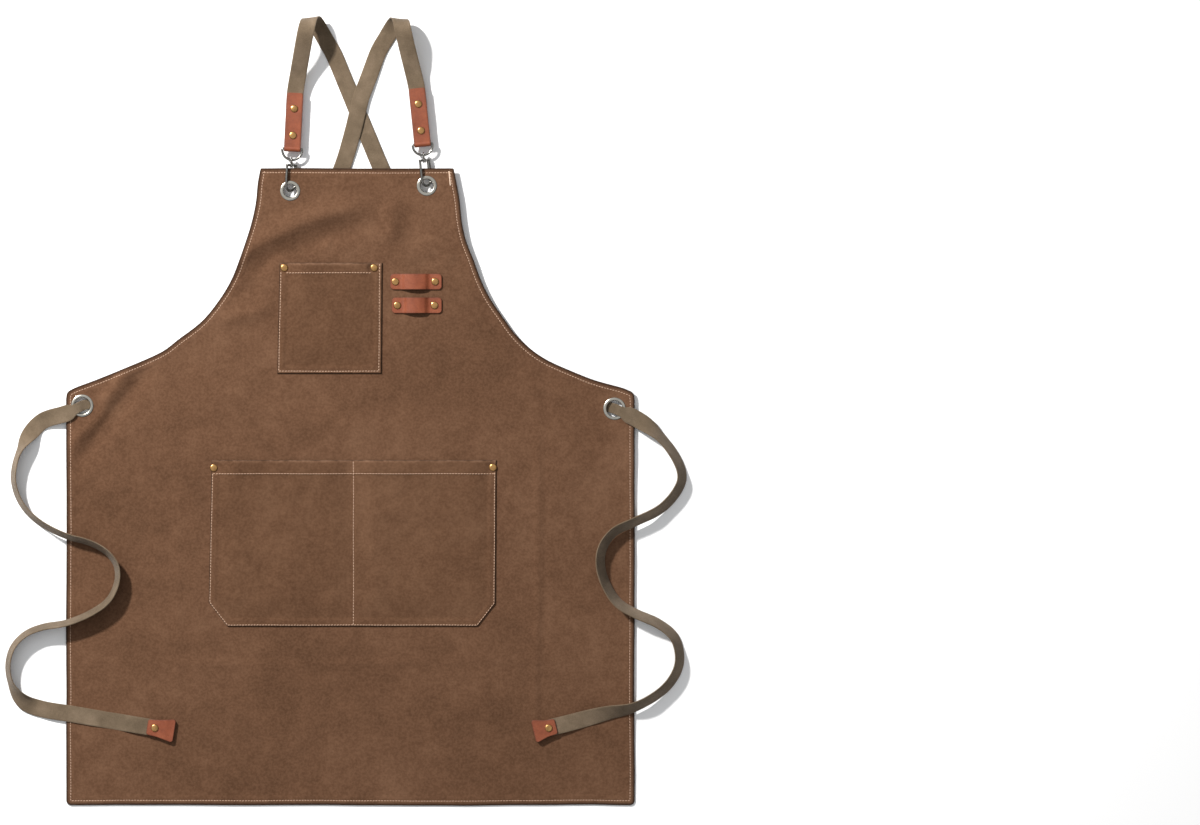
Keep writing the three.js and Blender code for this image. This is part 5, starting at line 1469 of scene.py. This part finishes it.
# ------------------------------------------------------------------ tabs, rings, swivels, snap hooks
for s, (turn, (ex, ey)) in SIDES.items():
    u = np.array([-math.sin(turn), math.cos(turn)])
    at = (ex - HOOK_END * u[0], ey - HOOK_END * u[1], AXIS_Z)
    gear, hookm = place(turn, at), place(turn, at, math.radians(40))

    # leather tab, folded round the ring's bar
    q = np.linspace(math.asin(1.9 / 2.7), 2 * math.pi - math.asin(1.9 / 2.7), 26)
    mid = [(0, y, 1.9) for y in np.concatenate([67 - np.array([0, 0.1, 0.35, 0.8, 1.4, 2.1]), np.linspace(63.5, 4.5, 44)])]
    mid += [(0, 2.7 * math.cos(k), 2.7 * math.sin(k)) for k in q]
    mid += [(0, y, -1.9) for y in np.concatenate([np.linspace(4.5, 63.5, 44), 67 - np.array([2.1, 1.4, 0.8, 0.35, 0.1, 0])])]
    mid = np.array(mid)
    # leaves bow a little between the rivets
    yy = mid[:, 1]
    bow = 0.22 * np.sin(np.clip((yy - 16) / 32, 0, 1) * math.pi) ** 2 - 0.12 * smooth((yy - 56) / 11)
    mid[:, 2] += np.sign(mid[:, 2]) * bow * (yy > 10)
    endgap = 67 - yy
    wd = 1 - (2.6 - np.sqrt(np.clip(2.6 ** 2 - (2.6 - np.clip(endgap, 0, 2.6)) ** 2, 0, None))) / 10
    o = sweep_mesh(f"{s}_tab_leather", mid, (1, 0, 0), rounded_section(20, 1.8, 0.45, across=12), LEATHER, width=wd, sharp=45,
        attrs={"edge": lambda a, b, c_: np.exp(-((10 - np.abs(a)) / 0.9) ** 2)})
    keep(fix_normals(moved(o, gear)), slot="leather", replaces=[f"{s}_strap_tab"])
    for i, y in enumerate((16, 48)):
        keep(lathe(f"{s}_tab_rivet_{i + 1}_cap", rivet_profile(-2.8, 2.8), BRASS, at=(0, y, 0), n=36, matrix=gear), slot="brass", replaces=[f"{s}_tab_rivet_{i + 1}"])

    # D-ring
    bowed = [(-12 * math.cos(math.pi * i / 20), -1.5 - 12 * math.sin(math.pi * i / 20)) for i in range(21)]
    ring = [(-9.5, 0), (-4, 0), (4, 0), (9.5, 0), (11.35, -0.28)] + bowed[::-1] + [(-11.35, -0.28), (-9.5, 0)]
    ring = catmull([(a, b, 0.0) for a, b in ring], 0.75)[:-1]
    o = sweep_mesh(f"{s}_ring_wire", ring, (0, 0, 1), circle(1.5, 18), NICKEL, closed=True)
    keep(fix_normals(moved(o, gear)), f"{s}_ring", "nickel", [f"{s}_d_ring"])

    # swivel eye: loop, shank and headed end
    loop = [(0, -13.8 + 3.1 * math.cos(a), 3.1 * math.sin(a)) for a in np.linspace(0, 2 * math.pi, 49)[:-1]]
    a1 = sweep_mesh("tmp_a", loop, (1, 0, 0), circle(1.0, 14), NICKEL, closed=True)
    a2 = rod_y("tmp_b", [(0, -22.72), (1.7, -22.7), (2.15, -22.45), (2.2, -21.75), (2.05, -21.6), (1.2, -21.55), (1.2, -18.4), (1.35, -17.95), (1.5, -17.4), (1.2, -16.9), (0, -16.7)], NICKEL)
    keep(fix_normals(moved(join(f"{s}_eye_forging", [a1, a2]), gear)), f"{s}_eye", "nickel", [f"{s}_swivel_eye"])

    # snap hook: boss and shoulders, slotted barrel, wire spine and bow
    H, cy = 6.5, HOOK_END + 6.5
    parts = [rod_y("tmp_c", [(1.5, -21.3), (2.75, -21.3), (3.0, -21.05), (3.0, -18.55), (2.75, -18.3), (1.5, -18.3), (1.5, -21.3)], NICKEL, n=32)]
    sec = rounded_section(2.9, 4.2, 1.2, across=3, arc=5)
    for x0, x1 in ((2.3, 8.8), (-2.3, -8.0)):
        xs = np.linspace(x0, x1, 14)
        ends = np.abs(x1 - xs)
        wd = np.where(ends < 1.2, np.sqrt(np.clip(1 - (1 - ends / 1.2) ** 2, 0.04, 1)), 1)
        cs = [(x, -19.8, 0) for x in xs]
        o = sweep_mesh("tmp_d", cs, (0, 1, 0), sec, NICKEL, width=wd)
        co = np.zeros(len(o.data.vertices) * 3)
        o.data.vertices.foreach_get("co", co)
        co = co.reshape(-1, 3)
        co[:, 2] *= np.repeat(np.maximum(wd, 0.3), len(sec))
        o.data.vertices.foreach_set("co", co.ravel())
        parts.append(o)
    parts.append(slotted_tube("tmp_e", NICKEL, H, 2.3, 1.55, -34.5, -21.0, 0.95, -32.7, -23.3))
    spine = [(-H, -20.3, 0), (-H, -26, 0), (-H, -32, 0)] + [(-H * math.cos(math.pi * i / 18), cy - H * math.sin(math.pi * i / 18), 0) for i in range(19)] + [(H, -43.2, 0), (H, -42.7, 0), (H, -42.36, 0)]
    sp = catmull(spine, 0.9)
    s_ = np.concatenate([[0], np.cumsum(np.linalg.norm(np.diff(sp, axis=0), axis=1))])
    tail = s_[-1] - s_
    wd = np.where(tail < 0.7, np.sqrt(np.clip(1 - (1 - tail / 0.7) ** 2, 0.02, 1)), 1)
    o = sweep_mesh("tmp_f", sp, (0, 0, 1), circle(1.0, 18), NICKEL)
    co = np.zeros(len(o.data.vertices) * 3)
    o.data.vertices.foreach_get("co", co)
    co = co.reshape(len(sp), 18, 3) / MM
    co = sp[:, None, :3] + (co - sp[:, None, :3]) * (1.5 * wd)[:, None, None]
    o.data.vertices.foreach_set("co", (co.reshape(-1, 3) * MM).ravel())
    o.data.update()
    parts.append(o)
    keep(fix_normals(moved(join(f"{s}_hook_forging", parts), hookm)), f"{s}_hook", "nickel", [f"{s}_snap_hook"])

    # bolt with its thumb stud
    b1 = rod_y("tmp_g", [(0, -42.0), (0.7, -41.97), (1.15, -41.7), (1.3, -41.2), (1.3, -36.2), (1.12, -36.0), (1.12, -35.6), (1.3, -35.4), (1.3, -28.8), (1.1, -28.5), (0, -28.5)], STEEL, x=H)
    b2 = lathe("tmp_h", [(0, 0.2), (0.6, 0.3), (0.6, 2.36), (0.88, 2.42), (0.98, 2.54), (0.98, 2.86), (0.88, 3.0), (0.5, 3.08), (0, 3.1)], STEEL, at=(H, -31.6, 0), n=24)
    keep(fix_normals(moved(join(f"{s}_bolt_pin", [b1, b2]), hookm)), f"{s}_bolt", "steel", [f"{s}_snap_bolt"])

    # the spring behind the bolt
    turns, coil = 6, []
    for i in range(turns * 20 + 1):
        a = 2 * math.pi * i / 20
        coil.append((H + 1.12 * math.cos(a), -21.75 - 6.3 * i / (turns * 20), 1.12 * math.sin(a)))
    o = moved(sweep_mesh(f"{s}_spring_coil", coil, (0, 1, 0), circle(0.2, 8), STEEL), hookm)
    keep(fix_normals(o), f"{s}_hook", "steel", [f"{s}_bolt_spring"])
    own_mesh(o)

# ------------------------------------------------------------------ floor and light
floor_mat = bpy.data.materials.new("floor")
floor_mat.use_nodes = True
floor_mat.node_tree.nodes["Principled BSDF"].inputs["Base Color"].default_value = (0.97, 0.97, 0.97, 1)
floor_mat.node_tree.nodes["Principled BSDF"].inputs["Roughness"].default_value = 1.0
floor_mat.node_tree.nodes["Principled BSDF"].inputs["Specular IOR Level"].default_value = 0.0
floor = new_object("floor", [(-6000, -6000, -0.5), (6000, -6000, -0.5), (6000, 6000, -0.5), (-6000, 6000, -0.5)], [[0, 1, 2, 3]], floor_mat, smooth_shade=False)

world = bpy.data.worlds.new("world")
scene.world = world
world.use_nodes = True
world.node_tree.nodes["Background"].inputs["Color"].default_value = (0.97, 0.98, 1.0, 1)
world.node_tree.nodes["Background"].inputs["Strength"].default_value = 0.20


def sun(name, energy, angle, direction, color=(1, 1, 1)):
    light = bpy.data.lights.new(name, "SUN")
    light.energy, light.angle, light.color = energy, math.radians(angle), color
    o = bpy.data.objects.new(name, light)
    o.rotation_euler = Vector(direction).to_track_quat("-Z", "Y").to_euler()
    scene.collection.objects.link(o)
    return o


sun("fill", 1.02, 100, (0.12, -0.12, -1.0), (0.97, 0.985, 1.0))
key = bpy.data.lights.new("key", "AREA")
key.shape, key.size, key.energy, key.color = "DISK", 0.24, 144, (1.0, 0.985, 0.965)
key_at = Vector((0.0, -0.05, 0.0)) - Vector((15.6, -16.8, -20)).normalized() * 3.0
key_lamp = bpy.data.objects.new("key", key)
key_lamp.location = key_at
key_lamp.rotation_euler = (Vector((0.0, -0.05, 0.0)) - key_at).to_track_quat("-Z", "Y").to_euler()
scene.collection.objects.link(key_lamp)
scene.view_settings.view_transform = "Standard"
scene.view_settings.look = "None"
scene.view_settings.exposure = 0.0
